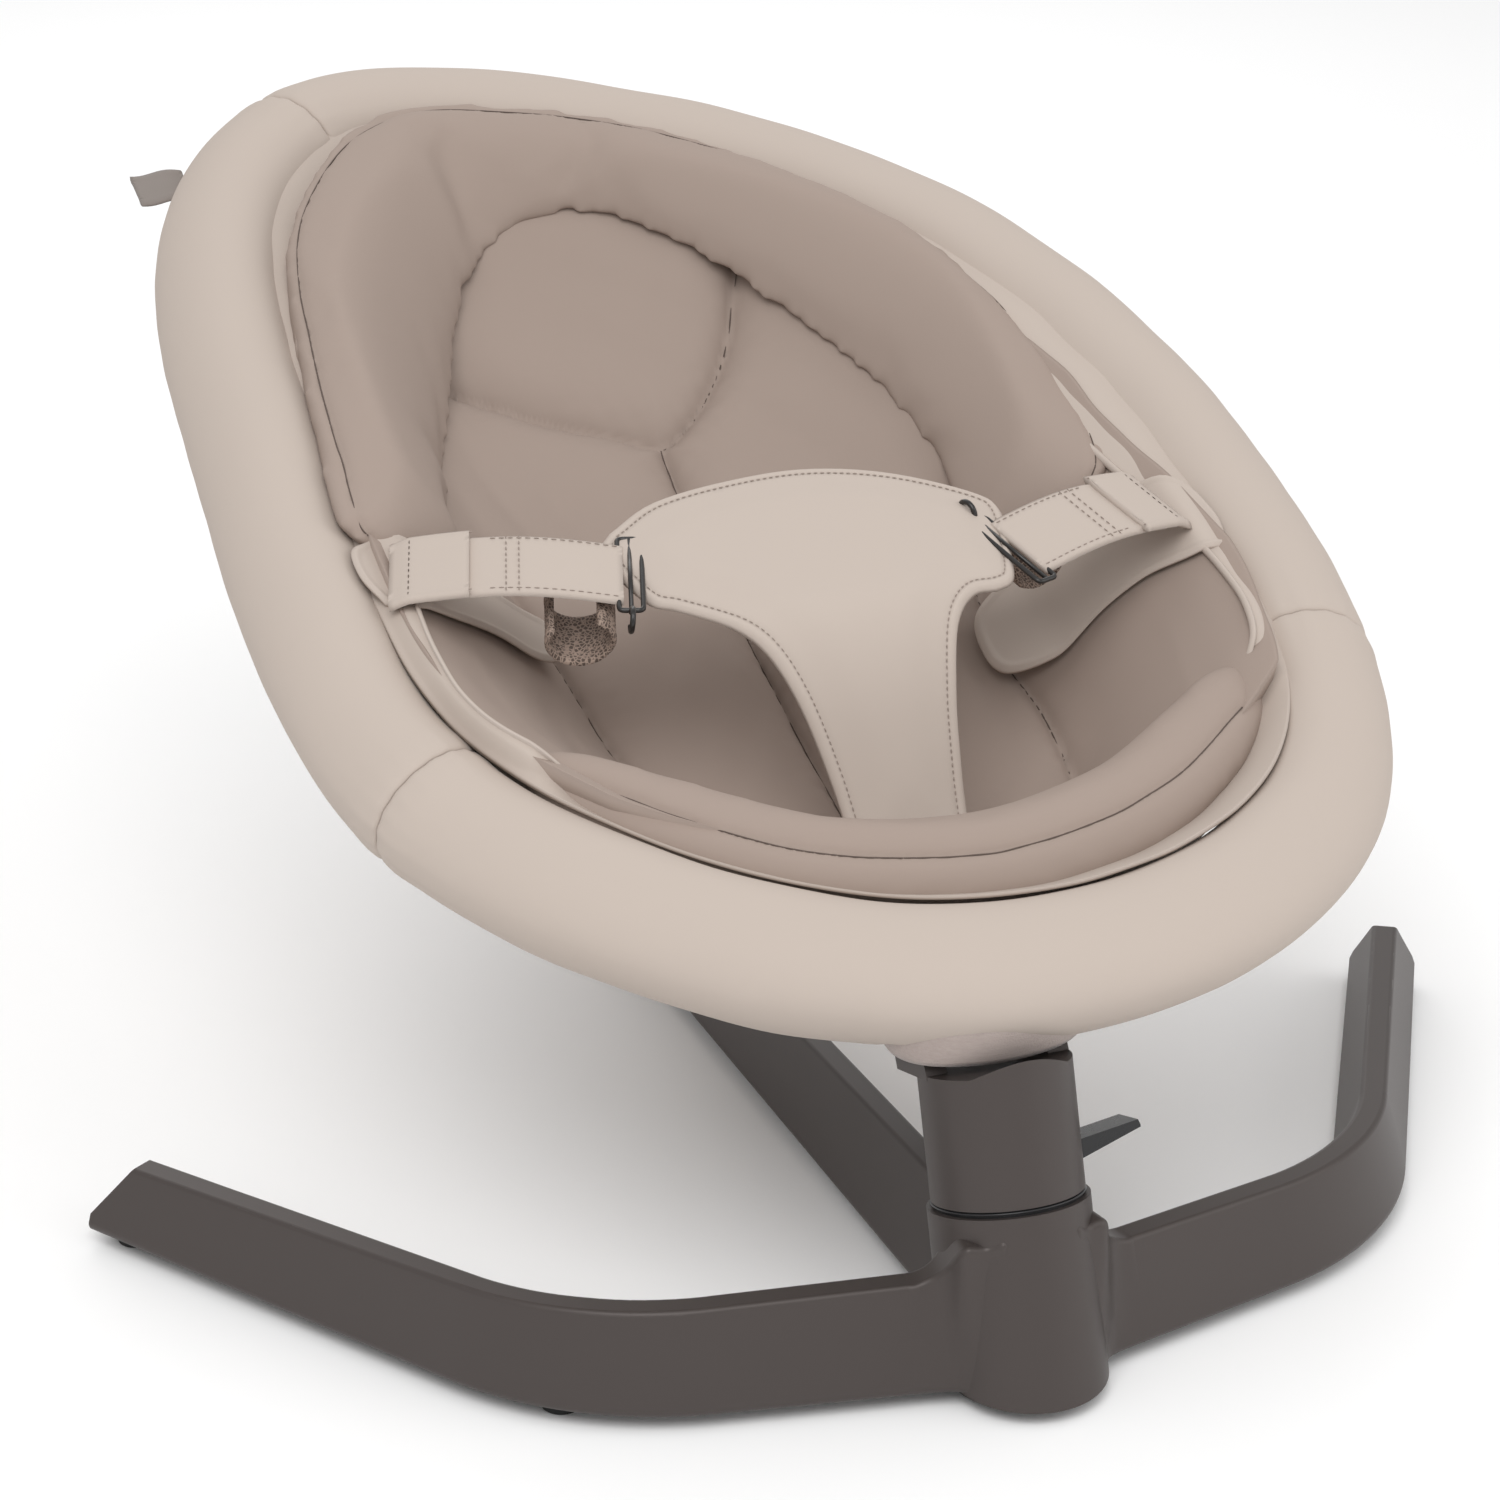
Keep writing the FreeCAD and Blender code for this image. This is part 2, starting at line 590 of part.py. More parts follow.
def oval_section(long_half, short_half, lean_deg):
    """Ellipse across the path, its outer end raised by lean_deg."""
    def section(point, tangent):
        inward = Z_AXIS.cross(tangent)
        lean = math.radians(lean_deg)
        major = inward * math.cos(lean) - Z_AXIS * math.sin(lean)
        ellipse = Part.Ellipse(point + major * long_half, point + tangent.cross(major) * short_half, point)
        return Part.Wire([ellipse.toShape()])
    return section


def rim_piece(first, last, radius):
    return swept(rim_path(first, last), round_section(radius))


# ---------------------------------------------------------------- seat
def make_seat_frame():
    right_joint = rim_share_near(*right_seam_at)
    shares = {"frame_tube_front": (0, right_joint), "frame_tube_rear": (right_joint, 1)}
    solids = []
    for name, (first, last) in shares.items():
        solid = rim_piece(first, last, tube_radius)
        solids.append(solid)
        save(name, on_seat(solid.cut(rim_piece(first, last, tube_radius - tube_wall))))
    front_solid, rear_solid = solids
    half = joiner_length / rim_curve.length() / 2
    for name, share in (("frame_joiner_left", 0.0), ("frame_joiner_right", right_joint)):
        sleeve = rim_piece(share - half, share + half, joiner_radius)
        save(name, on_seat(sleeve.cut(front_solid).cut(rear_solid)))

    hoop_ends = rim_share_near(-218, 250) - 1, rim_share_near(237, 220)
    path = rim_path(hoop_ends[0], hoop_ends[1], hoop_inset, -hoop_depth)
    hoop_solid = swept(path, round_section(hoop_radius))
    hoop = hoop_solid.cut(swept(path, round_section(hoop_radius - hoop_wall)))
    save("lower_hoop", on_seat(hoop))

    clamps = []
    for share in (hoop_ends[0] + 0.012, hoop_ends[1] - 0.012):
        top, low = inset_point(share, 0, 0), inset_point(share, hoop_inset, -hoop_depth)
        link = low - top
        length = link.Length
        link.normalize()
        along = rim_curve.tangent(rim_parameter(share % 1.0))[0]
        across = link.cross(along)
        blocks = []
        for grow in (0.0, 1.0):
            wide, deep = clamp_width / 2 + grow, clamp_thick / 2 + grow
            foot = top + link * (tube_radius - 4 - grow)
            loop = [foot + along * (a * wide) + across * (b * deep) for a, b in ((-1, -1), (1, -1), (1, 1), (-1, 1))]
            blocks.append(prism(loop, link * (length - tube_radius - hoop_radius + 7 + 2 * grow)))
        clamps.append(blocks)
    shapes = [block.cut(front_solid).cut(rear_solid).cut(hoop_solid) for block, room in clamps]
    save("hoop_clamp_left", on_seat(shapes[0]))
    save("hoop_clamp_right", on_seat(shapes[1]))
    return clamps, front_solid, hoop_solid


def seat_to_row(u, s, n):
    turn = FreeCAD.Rotation(X_AXIS, recline_deg)
    return FreeCAD.Placement(V(0, seat_y, seat_z), turn).multVec(V(u, s, n))


def make_knuckle(loop_solid, hoop_solid):
    loop = seat_to_row(0, 0, 0)
    hoop_at = seat_to_row(0, hoop_inset, -hoop_depth)
    circles = [(pivot_y, pivot_z, boss_radius), (hoop_at.y, hoop_at.z, hoop_radius + 3.5),
               (loop.y, loop.z, tube_radius + 4.0)]
    block = hull_plate(circles, -knuckle_half, knuckle_half)
    block = block.cut(x_rod(pivot_pin_radius + running, -60, 60, pivot_y, pivot_z))
    save("recline_knuckle", block.cut(on_seat(loop_solid)).cut(on_seat(hoop_solid)))
    grown = [(y, z, r + 2.0) for y, z, r in circles]
    room = hull_plate(grown, -knuckle_half - 2, knuckle_half + 2)
    room = room.fuse(x_rod(boss_radius + 7, -58, 58, pivot_y, pivot_z))
    mount_room = Part.makeBox(116, 90, 56, V(-58, pivot_y - 60, pivot_z - 42))
    return room.fuse(mount_room)


def make_covers(clamps, mount_room):
    """Padded rim in its three sewn lengths, and the bucket's sling."""
    right_seam, tip_seam = rim_share_near(*right_seam_at), rim_share_near(*tip_seam_at)
    lengths = {"rim_cover_front": (0, right_seam), "rim_cover_right": (right_seam, tip_seam),
               "rim_cover_left": (tip_seam, 1)}
    for name, (first, last) in lengths.items():
        cover = rim_piece(first, last, rim_radius).cut(rim_piece(first, last, rim_bore))
        for block, room in clamps:
            cover = cover.cut(room)
        cover = on_seat(cover)
        if name == "rim_cover_front":
            cover = cover.cut(mount_room)
        save(name, cover)
    outer = bucket_solid(0, bucket_rings[0][1])
    inner = bucket_solid(sling_thick, -5)
    save("seat_sling", on_seat(outer.cut(inner)))


def make_insert():
    """Padded insert: liner in two halves, head bolster, headrest and front roll."""
    outer = bucket_solid(sling_thick + clear, liner_top_depth)
    inner = bucket_solid(sling_thick + liner_thick, -5)
    liner = outer.cut(inner)
    box = Part.makeBox(800, 800, 400, V(-400, liner_split, -250))
    back, seat = liner.common(box), liner.cut(box)
    save("insert_back", on_seat(back))
    save("insert_seat", on_seat(seat))

    left_end, right_end = rim_share_near(-220, 330), rim_share_near(230, 312)
    path = rim_path(right_end, left_end, bolster_inset, bolster_height)
    bolster = swept(path, oval_section(bolster_long, bolster_short, bolster_lean_deg))
    save("head_bolster", on_seat(bolster.cut(outer)))

    path = rim_path(rim_share_near(-205, 165) - 1, rim_share_near(232, 170), roll_inset, roll_height)
    roll = swept(path, oval_section(roll_long, roll_short, 30.0))
    roll = roll.common(bucket_solid(sling_thick + clear, -40)).cut(outer)
    save("front_roll", on_seat(roll))

    low = bucket_rings[-1][1] - sling_thick - liner_thick - clear
    corners = [V(u, s, bucket_level(s, low)) for u, s in headrest_outline]
    panel = Part.Face(Part.Wire([closed_curve(corners).toShape()])).extrude(V(0, 0, headrest_thick))
    save("headrest_panel", on_seat(panel.common(bucket_solid(sling_thick + liner_thick + clear, -5))))


# ---------------------------------------------------------------- harness
def strap_box(start, end, width, thick):
    """Flat band from start to end, its width along the seat."""
    along = end - start
    length = along.Length
    along.normalize()
    up = along.cross(Y_AXIS)
    if up.z < 0:
        up = up * -1
    across = up.cross(along)
    across.normalize()
    up = along.cross(across)
    if up.z < 0:
        up = up * -1
    corner = start - across * (width / 2)
    loop = [corner, corner + across * width, corner + across * width + up * thick, corner + up * thick]
    return prism(loop, along * length)


def make_harness():
    for side, anchor, buckle in (("left", left_anchor, left_buckle), ("right", right_anchor, right_buckle)):
        along = buckle - anchor
        length = along.Length
        along.normalize()
        fold = anchor + along * anchor_length
        save("strap_anchor_" + side, on_seat(strap_box(anchor, fold, strap_width + 6, strap_thick + 1.5)))
        save("waist_strap_" + side, on_seat(strap_box(fold, buckle - along * 1.0, strap_width, strap_thick)))
        bar = strap_box(buckle, buckle + along * 11, strap_width + 10, slider_bar * 1.6)
        gap = strap_box(buckle + along * slider_bar, buckle + along * (11 - slider_bar), strap_width + 2, slider_bar * 8)
        gap.translate(V(0, 0, -slider_bar * 3))
        save("slider_" + side, on_seat(bar.cut(gap)))
        ring_at = buckle + along * 5 + V(0, -strap_width / 2 - 9, -8)
        save("strap_hook_" + side, on_seat(Part.makeTorus(5.0, 1.2, ring_at, Z_AXIS)))

    pad = prism([V(u, s, crotch_level) for u, s in crotch_head], V(0, 0, crotch_thick))
    across = V(1, crotch_skew, 0)
    neck, foot = V(*crotch_neck), V(*crotch_foot)
    stem = prism([neck - across * crotch_neck_half, neck + across * crotch_neck_half,
                  foot + across * crotch_foot_half, foot - across * crotch_foot_half],
                 V(0, crotch_thick * 0.8, crotch_thick * 0.6))
    pad = pad.fuse(stem).removeSplitter()
    sliders = [strap_box(b - (b - a).normalize(), b + (b - a).normalize() * 12, strap_width + 16, 12)
               for a, b in ((left_anchor, left_buckle), (right_anchor, right_buckle))]
    for slider in sliders:
        slider.translate(V(0, 0, -4))
        pad = pad.cut(slider)
    save("crotch_pad", on_seat(pad))
    size = V(*label_size)
    label = Part.makeBox(size.x, size.y, size.z, label_at - V(size.x / 2, size.y / 2, size.z / 2))
    cover = rim_piece(rim_share_near(-140, 632), rim_share_near(-190, 530), rim_radius)
    save("label_tab", on_seat(label.cut(cover)))


def main():
    os.makedirs("parts", exist_ok=True)
    make_base()
    make_post()
    make_recline()
    clamps, loop_solid, hoop_solid = make_seat_frame()
    mount_room = make_knuckle(loop_solid, hoop_solid)
    make_covers(clamps, mount_room)
    make_insert()
    make_harness()


main()
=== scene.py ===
"""Looks of a swaying bouncer seat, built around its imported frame. Metres, +Z up, +Y to the head end."""
import logging
import math
from dataclasses import dataclass, field
from enum import Enum
from typing import Any, Callable, Optional, Sequence, Union

import bmesh
import bpy
import numpy as np
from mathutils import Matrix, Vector
from mathutils.bvhtree import BVHTree
from mathutils.geometry import delaunay_2d_cdt


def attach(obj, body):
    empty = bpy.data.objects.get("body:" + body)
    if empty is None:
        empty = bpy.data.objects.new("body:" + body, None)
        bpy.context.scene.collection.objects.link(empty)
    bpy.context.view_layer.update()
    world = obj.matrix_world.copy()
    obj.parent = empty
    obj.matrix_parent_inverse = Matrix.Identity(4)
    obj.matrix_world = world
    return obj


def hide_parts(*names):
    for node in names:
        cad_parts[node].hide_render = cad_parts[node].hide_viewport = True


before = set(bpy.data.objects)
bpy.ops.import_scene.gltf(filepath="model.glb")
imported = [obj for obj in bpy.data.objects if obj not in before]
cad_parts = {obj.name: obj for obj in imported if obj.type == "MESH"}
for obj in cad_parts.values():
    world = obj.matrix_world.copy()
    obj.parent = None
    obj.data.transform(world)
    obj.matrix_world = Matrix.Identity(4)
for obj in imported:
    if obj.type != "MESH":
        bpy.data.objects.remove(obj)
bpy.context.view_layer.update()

log = logging.getLogger("bouncer")
MM = 0.001
Array = np.ndarray


# ---------------------------------------------------------------- the seat's own coordinates
@dataclass(frozen=True)
class SeatPlane:
    """Across (u), along (s) and out of (n) the reclined seat, in millimetres."""

    recline_deg: float = 20.0
    foot_y: float = 50.0
    foot_z: float = 180.0

    def to_row(self, points: Array) -> Array:
        """Turn seat millimetres into frame metres.

        Args:
            points: rows of (u, s, n).

        Returns:
            Rows of (x, y, z) in metres.
        """
        p = np.atleast_2d(np.asarray(points, float))
        c, s = math.cos(math.radians(self.recline_deg)), math.sin(math.radians(self.recline_deg))
        return np.stack([p[:, 0], self.foot_y + p[:, 1] * c - p[:, 2] * s,
                         self.foot_z + p[:, 1] * s + p[:, 2] * c], 1) * MM

    def to_seat(self, points: Array) -> Array:
        """Turn frame metres into seat millimetres.

        Args:
            points: rows of (x, y, z) in metres.

        Returns:
            Rows of (u, s, n).
        """
        p = np.atleast_2d(np.asarray(points, float)) / MM
        c, s = math.cos(math.radians(self.recline_deg)), math.sin(math.radians(self.recline_deg))
        y, z = p[:, 1] - self.foot_y, p[:, 2] - self.foot_z
        return np.stack([p[:, 0], y * c + z * s, -y * s + z * c], 1)


SEAT = SeatPlane()


@dataclass
class LeafRim:
    """The rim's centre line: a closed smooth curve through the outline's corners."""

    outline: tuple[tuple[float, float], ...] = (
        (-202, 150), (-152, 80), (-17, 1), (181, 50), (239, 233), (185, 487),
        (33, 616), (-122, 638), (-168, 591), (-209, 413), (-218, 240))
    centre: tuple[float, float] = (8.0, 300.0)
    samples: int = 2400
    line: Array = field(init=False)
    length: float = field(init=False)

    def __post_init__(self) -> None:
        """Work out the curve once, evenly spaced along its length."""
        p = np.array(self.outline, float)
        p = np.vstack([p, p[:1]])
        h = np.linalg.norm(np.diff(p, axis=0), axis=1)
        n = len(h)
        a, b = np.zeros((n, n)), np.zeros((n, 2))
        for i in range(n):
            a[i, i - 1] += h[i - 1]
            a[i, i] += 2 * (h[i - 1] + h[i])
            a[i, (i + 1) % n] += h[i]
            b[i] = 6 * ((p[i + 1] - p[i]) / h[i] - (p[i] - p[i - 1] if i else p[0] - p[n - 1]) / h[i - 1])
        m = np.linalg.solve(a, b)
        m = np.vstack([m, m[:1]])
        ends = np.concatenate([[0], np.cumsum(h)])
        t = np.linspace(0, ends[-1], self.samples, endpoint=False)
        k = np.minimum(np.searchsorted(ends, t, side="right") - 1, n - 1)
        d, w = (t - ends[k])[:, None], h[k][:, None]
        raw = (p[k] * (w - d) / w + p[k + 1] * d / w
               + m[k] * ((w - d) ** 3 / w - (w - d) * w) / 6 + m[k + 1] * (d ** 3 / w - d * w) / 6)
        closed = np.vstack([raw, raw[:1]])
        run = np.concatenate([[0], np.cumsum(np.linalg.norm(np.diff(closed, axis=0), axis=1))])
        self.length = float(run[-1])
        even = np.linspace(0, self.length, self.samples, endpoint=False)
        self.line = np.stack([np.interp(even, run, closed[:, i]) for i in (0, 1)], 1)

    def at(self, share: Array) -> Array:
        """Points (u, s) of the centre line at shares of its length."""
        x = np.mod(np.atleast_1d(share), 1.0) * self.samples
        k = np.floor(x).astype(int) % self.samples
        f = (x - np.floor(x))[:, None]
        return self.line[k] * (1 - f) + self.line[(k + 1) % self.samples] * f

    def share_near(self, u: float, s: float) -> float:
        """Share of the way round that is nearest to a point."""
        return float(np.argmin(np.hypot(self.line[:, 0] - u, self.line[:, 1] - s)) / self.samples)

    def inward(self, share: Array) -> Array:
        """Unit vectors (u, s) square to the centre line, towards the inside."""
        step = 0.002
        way = self.at(np.asarray(share) + step) - self.at(np.asarray(share) - step)
        way /= np.linalg.norm(way, axis=1)[:, None]
        return np.stack([-way[:, 1], way[:, 0]], 1)

    def towards_centre(self, share: Array) -> Array:
        """Unit vectors (u, s) from the centre line to the seat's centre."""
        v = np.array(self.centre) - self.at(share)
        return v / np.linalg.norm(v, axis=1)[:, None]

    def reach(self, share: Array) -> Array:
        """Distance from the centre line to the seat's centre."""
        return np.linalg.norm(np.array(self.centre) - self.at(share), axis=1)


RIM = LeafRim()


def polyline_distance(points: Array, line: Sequence[tuple[float, float]], closed: bool = False) -> Array:
    """Distance of plan points from a run of straight pieces.

    Args:
        points: rows of (u, s).
        line: the run's corners.
        closed: whether the last corner joins the first.

    Returns:
        One distance for each point.
    """
    corners = [np.array(c, float) for c in line]
    if closed:
        corners.append(corners[0])
    best = np.full(len(points), 1e9)
    for a, b in zip(corners, corners[1:]):
        d = b - a
        t = np.clip(((points - a) @ d) / (d @ d), 0, 1)
        best = np.minimum(best, np.hypot(*(points - a - t[:, None] * d).T))
    return best


def smooth_line(corners: Sequence[tuple[float, ...]], count: int = 60) -> Array:
    """A smooth open curve through its corners (Catmull-Rom).

    Args:
        corners: two or more points of any dimension.
        count: how many points to give.

    Returns:
        The curve's points.
    """
    p = np.array(corners, float)
    p = np.vstack([2 * p[0] - p[1], p, 2 * p[-1] - p[-2]])
    t = np.linspace(0, len(p) - 3 - 1e-9, count)
    k = t.astype(int)
    f = (t - k)[:, None]
    a, b, c, d = p[k], p[k + 1], p[k + 2], p[k + 3]
    return 0.5 * (2 * b + (c - a) * f + (2 * a - 5 * b + 4 * c - d) * f ** 2 + (3 * b - a - 3 * c + d) * f ** 3)


def ease(x: Array) -> Array:
    """Smooth step from 0 to 1 as x goes from 0 to 1."""
    x = np.clip(x, 0, 1)
    return x * x * (3 - 2 * x)


def ripple(points: Array, size: float, seed: int) -> Array:
    """Gentle unevenness of stretched cloth.

    Args:
        points: rows of millimetres, in two or three dimensions.
        size: length of the waves.
        seed: a different number gives other waves.

    Returns:
        Values from about -1 to 1.
    """
    draw = np.random.default_rng(seed)
    total = np.zeros(len(points))
    for _ in range(7):
        way = draw.normal(size=points.shape[1])
        way /= np.linalg.norm(way)
        total += np.sin(points @ way * (2 * math.pi / size) * draw.uniform(0.6, 1.5) + draw.uniform(0, 6.3))
    return total / 4.0


# ---------------------------------------------------------------- meshes
class Piece:
    """Makes and finishes one mesh object."""

    @staticmethod
    def mesh(name: str, points: Array, faces: Sequence[Sequence[int]], smooth: bool = True) -> bpy.types.Object:
        """An object from frame metres and faces, its normals made to point outwards.

        Args:
            name: the piece's name.
            points: rows of (x, y, z) in metres.
            faces: corner indices of each face.
            smooth: shade it smooth.

        Returns:
            The new object, at the origin.
        """
        data = bpy.data.meshes.new(name)
        data.from_pydata([tuple(map(float, p)) for p in points], [], [tuple(map(int, f)) for f in faces])
        work = bmesh.new()
        work.from_mesh(data)
        bmesh.ops.remove_doubles(work, verts=work.verts, dist=1e-6)
        bmesh.ops.recalc_face_normals(work, faces=work.faces)
        work.to_mesh(data)
        work.free()
        data.polygons.foreach_set("use_smooth", [smooth] * len(data.polygons))
        piece = bpy.data.objects.new(name, data)
        bpy.context.scene.collection.objects.link(piece)
        return piece

    @staticmethod
    def grid(name: str, rows: Array, wrap: bool = True, caps: bool = True) -> bpy.types.Object:
        """An object from rows of points, each row joined to the next.

        Args:
            name: the piece's name.
            rows: array (rows, points in a row, 3) in metres.
            wrap: each row is a closed loop.
            caps: close the first and last row with a fan.

        Returns:
            The new object.
        """
        m, n = rows.shape[:2]
        points = list(rows.reshape(-1, 3))
        faces = []
        for i in range(m - 1):
            for j in range(n if wrap else n - 1):
                k = (j + 1) % n
                faces.append((i * n + j, i * n + k, (i + 1) * n + k, (i + 1) * n + j))
        if caps:
            for i in (0, m - 1):
                points.append(rows[i].mean(0))
                hub = len(points) - 1
                faces += [(i * n + j, i * n + (j + 1) % n, hub) for j in range(n)]
        return Piece.mesh(name, np.array(points), faces)

    @staticmethod
    def modify(piece: bpy.types.Object, kind: str, **settings: Any) -> bpy.types.Object:
        """Add one modifier with its settings."""
        modifier = piece.modifiers.new(kind.lower(), kind)
        for key, value in settings.items():
            setattr(modifier, key, value)
        return piece

    @staticmethod
    def apply(piece: bpy.types.Object) -> bpy.types.Object:
        """Turn the piece's modifiers into plain mesh."""
        graph = bpy.context.evaluated_depsgraph_get()
        data = bpy.data.meshes.new_from_object(piece.evaluated_get(graph), depsgraph=graph)
        piece.modifiers.clear()
        piece.data = data
        return piece

    @staticmethod
    def slab(name: str, outline: Array, centre: Callable[[Array], Array], half: float, rounding: float,
             levels: int = 2) -> bpy.types.Object:
        """A flat padded shape over a plan outline.

        Args:
            name: the piece's name.
            outline: rows of (u, s) round the edge.
            centre: gives the level n of plan points.
            half: half its thickness in the middle.
            rounding: how far in from the edge it reaches that thickness.
            levels: how many rings lie inside the rounding.

        Returns:
            The new object.
        """
        middle = outline.mean(0)
        inner = [0.0] + [rounding * (1 - math.cos(math.pi / 2 * (k + 1) / (levels + 2))) for k in range(levels + 2)]
        span = np.linalg.norm(outline - middle, axis=1)
        rings = []
        for d in inner:
            rings.append(middle + (outline - middle) * (1 - np.minimum(d / span, 0.9))[:, None])
        for share in (0.7, 0.45, 0.2):
            rings.append(middle + (rings[len(inner) - 1] - middle) * share)
        heights = [half * math.sqrt(max(0.0, 1 - (1 - min(d / rounding, 1)) ** 2)) for d in inner] + [half] * 3
        stack = [np.column_stack([r, centre(r) - h]) for r, h in zip(rings[::-1], heights[::-1])]
        stack += [np.column_stack([r, centre(r) + h]) for r, h in zip(rings[1:], heights[1:])]
        rows = np.array([SEAT.to_row(r) for r in stack])
        return Piece.grid(name, rows)


# ---------------------------------------------------------------- shader expressions
Value = Union["Wire", float, int]


class Wire:
    """A shader socket with arithmetic: each expression adds its Math node."""

    def __init__(self, shader: "Shader", socket: bpy.types.NodeSocket) -> None:
        """Keep the tree and the socket."""
        self.shader = shader
        self.socket = socket

    def _math(self, operation: str, first: Value, second: Value) -> "Wire":
        """One Math node."""
        return self.shader.node("ShaderNodeMath", {"operation": operation}, {0: first, 1: second})

    def __add__(self, other: Value) -> "Wire":
        """Sum."""
        return self._math("ADD", self, other)

    __radd__ = __add__

    def __sub__(self, other: Value) -> "Wire":
        """Difference."""
        return self._math("SUBTRACT", self, other)

    def __rsub__(self, other: Value) -> "Wire":
        """Difference from a number."""
        return self._math("SUBTRACT", other, self)

    def __mul__(self, other: Value) -> "Wire":
        """Product."""
        return self._math("MULTIPLY", self, other)

    __rmul__ = __mul__

    def power(self, exponent: Value) -> "Wire":
        """Raise to a power."""
        return self._math("POWER", self, exponent)


class Shader:
    """One material's node tree."""

    def __init__(self, name: str) -> None:
        """Make the material with an empty principled shader."""
        self.material = bpy.data.materials.new(name)
        self.material.use_nodes = True
        self.tree = self.material.node_tree
        self.surface = self.tree.nodes["Principled BSDF"]

    def node(self, kind: str, settings: Optional[dict[str, Any]] = None,
             inputs: Optional[dict[Any, Any]] = None, output: Any = 0) -> Wire:
        """Add any node.

        Args:
            kind: the node's type.
            settings: its properties; "stops" fills a colour ramp.
            inputs: values or wires for its sockets.
            output: which output to give.

        Returns:
            The chosen output as a wire.
        """
        made = self.tree.nodes.new(kind)
        for key, value in (settings or {}).items():
            if key == "stops":
                ramp = made.color_ramp
                while len(ramp.elements) < len(value):
                    ramp.elements.new(0.5)
                for element, (place, colour) in zip(ramp.elements, value):
                    element.position, element.color = place, (*colour, 1.0)
            else:
                setattr(made, key, value)
        for key, value in (inputs or {}).items():
            self.feed(made.inputs[key], value)
        return Wire(self, made.outputs[output])

    def feed(self, socket: bpy.types.NodeSocket, value: Any) -> None:
        """Set a socket or link a wire to it."""
        if isinstance(value, Wire):
            self.tree.links.new(value.socket, socket)
        elif socket.type == "RGBA" and len(value) == 3:
            socket.default_value = (*value, 1.0)
        else:
            socket.default_value = value

    def place(self, stretch: tuple[float, float, float], turn_deg: float = 0.0) -> Wire:
        """Object coordinates, turned about X and stretched."""
        here = self.node("ShaderNodeTexCoord", output="Object")
        turned = self.node("ShaderNodeMapping", {"vector_type": "TEXTURE"},
                           {"Vector": here, "Rotation": (math.radians(turn_deg), 0, 0)})
        return self.node("ShaderNodeMapping", {}, {"Vector": turned, "Scale": stretch})

    def noise(self, where: Wire, scale: float, detail: float = 2.0, rough: float = 0.5) -> Wire:
        """Noise value from 0 to 1."""
        return self.node("ShaderNodeTexNoise", {}, {"Vector": where, "Scale": scale, "Detail": detail,
                                                    "Roughness": rough}, "Fac")

    def mix(self, factor: Value, low: Any, high: Any) -> Wire:
        """Mix two colours."""
        made = self.tree.nodes.new("ShaderNodeMix")
        made.data_type = "RGBA"
        self.feed(made.inputs[0], factor)
        self.feed(made.inputs[6], low)
        self.feed(made.inputs[7], high)
        return Wire(self, made.outputs[2])

    def bump(self, height: Wire, distance: float, strength: float = 1.0, under: Optional[Wire] = None) -> Wire:
        """Bump from a height, over another bump."""
        inputs: dict[Any, Any] = {"Height": height, "Distance": distance, "Strength": strength}
        if under is not None:
            inputs["Normal"] = under
        return self.node("ShaderNodeBump", {}, inputs, "Normal")

    def finish(self, **sockets: Any) -> bpy.types.Material:
        """Feed the surface's sockets by name (spaces as underscores)."""
        for key, value in sockets.items():
            self.feed(self.surface.inputs[key.replace("_", " ")], value)
        return self.material


Colour = tuple[float, float, float]


@dataclass(frozen=True)
class Knit:
    """Fine knit with threads of several shades that run across the seat."""

    name: str
    pale: Colour
    dark: Colour
    streak: float = 0.5
    turn_deg: float = -20.0
    sheen: float = 0.25

    def material(self) -> bpy.types.Material:
        """Build the cloth."""
        s = Shader(self.name)
        long = s.noise(s.place((45, 700, 700), self.turn_deg), 1.0, 3.0, 0.6)
        short = s.noise(s.place((160, 1500, 1500), self.turn_deg), 1.0, 2.0, 0.55)
        broad = s.noise(s.place((5, 9, 9)), 1.0, 1.0)
        mask = s.node("ShaderNodeMapRange", {}, {0: long * 0.6 + short * 0.4, 1: 0.36, 2: 0.64})
        colour = s.mix(mask * self.streak + broad * 0.25 + (0.375 - self.streak / 2), self.dark, self.pale)
        loops = s.node("ShaderNodeTexVoronoi", {"feature": "F1"},
                       {"Vector": s.place((900, 1500, 1500), self.turn_deg), "Scale": 1.0}, "Distance")
        normal = s.bump(loops * -1.0 + short * 0.7, 0.00022, 0.55)
        return s.finish(Base_Color=colour, Roughness=0.86 + long * 0.1, Normal=normal,
                        Sheen_Weight=self.sheen, Sheen_Roughness=0.45, Specular_IOR_Level=0.25)


@dataclass(frozen=True)
class Jersey:
    """Close jersey with a short brushed nap."""

    name: str
    pale: Colour
    dark: Colour
    sheen: float = 0.35

    def material(self) -> bpy.types.Material:
        """Build the cloth."""
        s = Shader(self.name)
        nap = s.noise(s.place((1600, 1600, 1600)), 1.0, 2.0, 0.6)
        cloud = s.noise(s.place((14, 14, 14)), 1.0, 3.0, 0.6)
        colour = s.mix(nap * 0.45 + cloud * 0.45 + 0.05, self.dark, self.pale)
        normal = s.bump(nap, 0.00016, 0.5, s.bump(cloud, 0.0012, 0.25))
        return s.finish(Base_Color=colour, Roughness=0.88 + nap * 0.1, Normal=normal,
                        Sheen_Weight=self.sheen, Sheen_Roughness=0.4, Specular_IOR_Level=0.2)


@dataclass(frozen=True)
class Thread:
    """Twisted sewing thread."""

    name: str
    colour: Colour

    def material(self) -> bpy.types.Material:
        """Build the thread."""
        s = Shader(self.name)
        twist = s.noise(s.place((2500, 2500, 2500)), 1.0, 1.0)
        dark = tuple(c * 0.6 for c in self.colour)
        return s.finish(Base_Color=s.mix(twist, dark, self.colour), Roughness=0.7 + twist * 0.2)


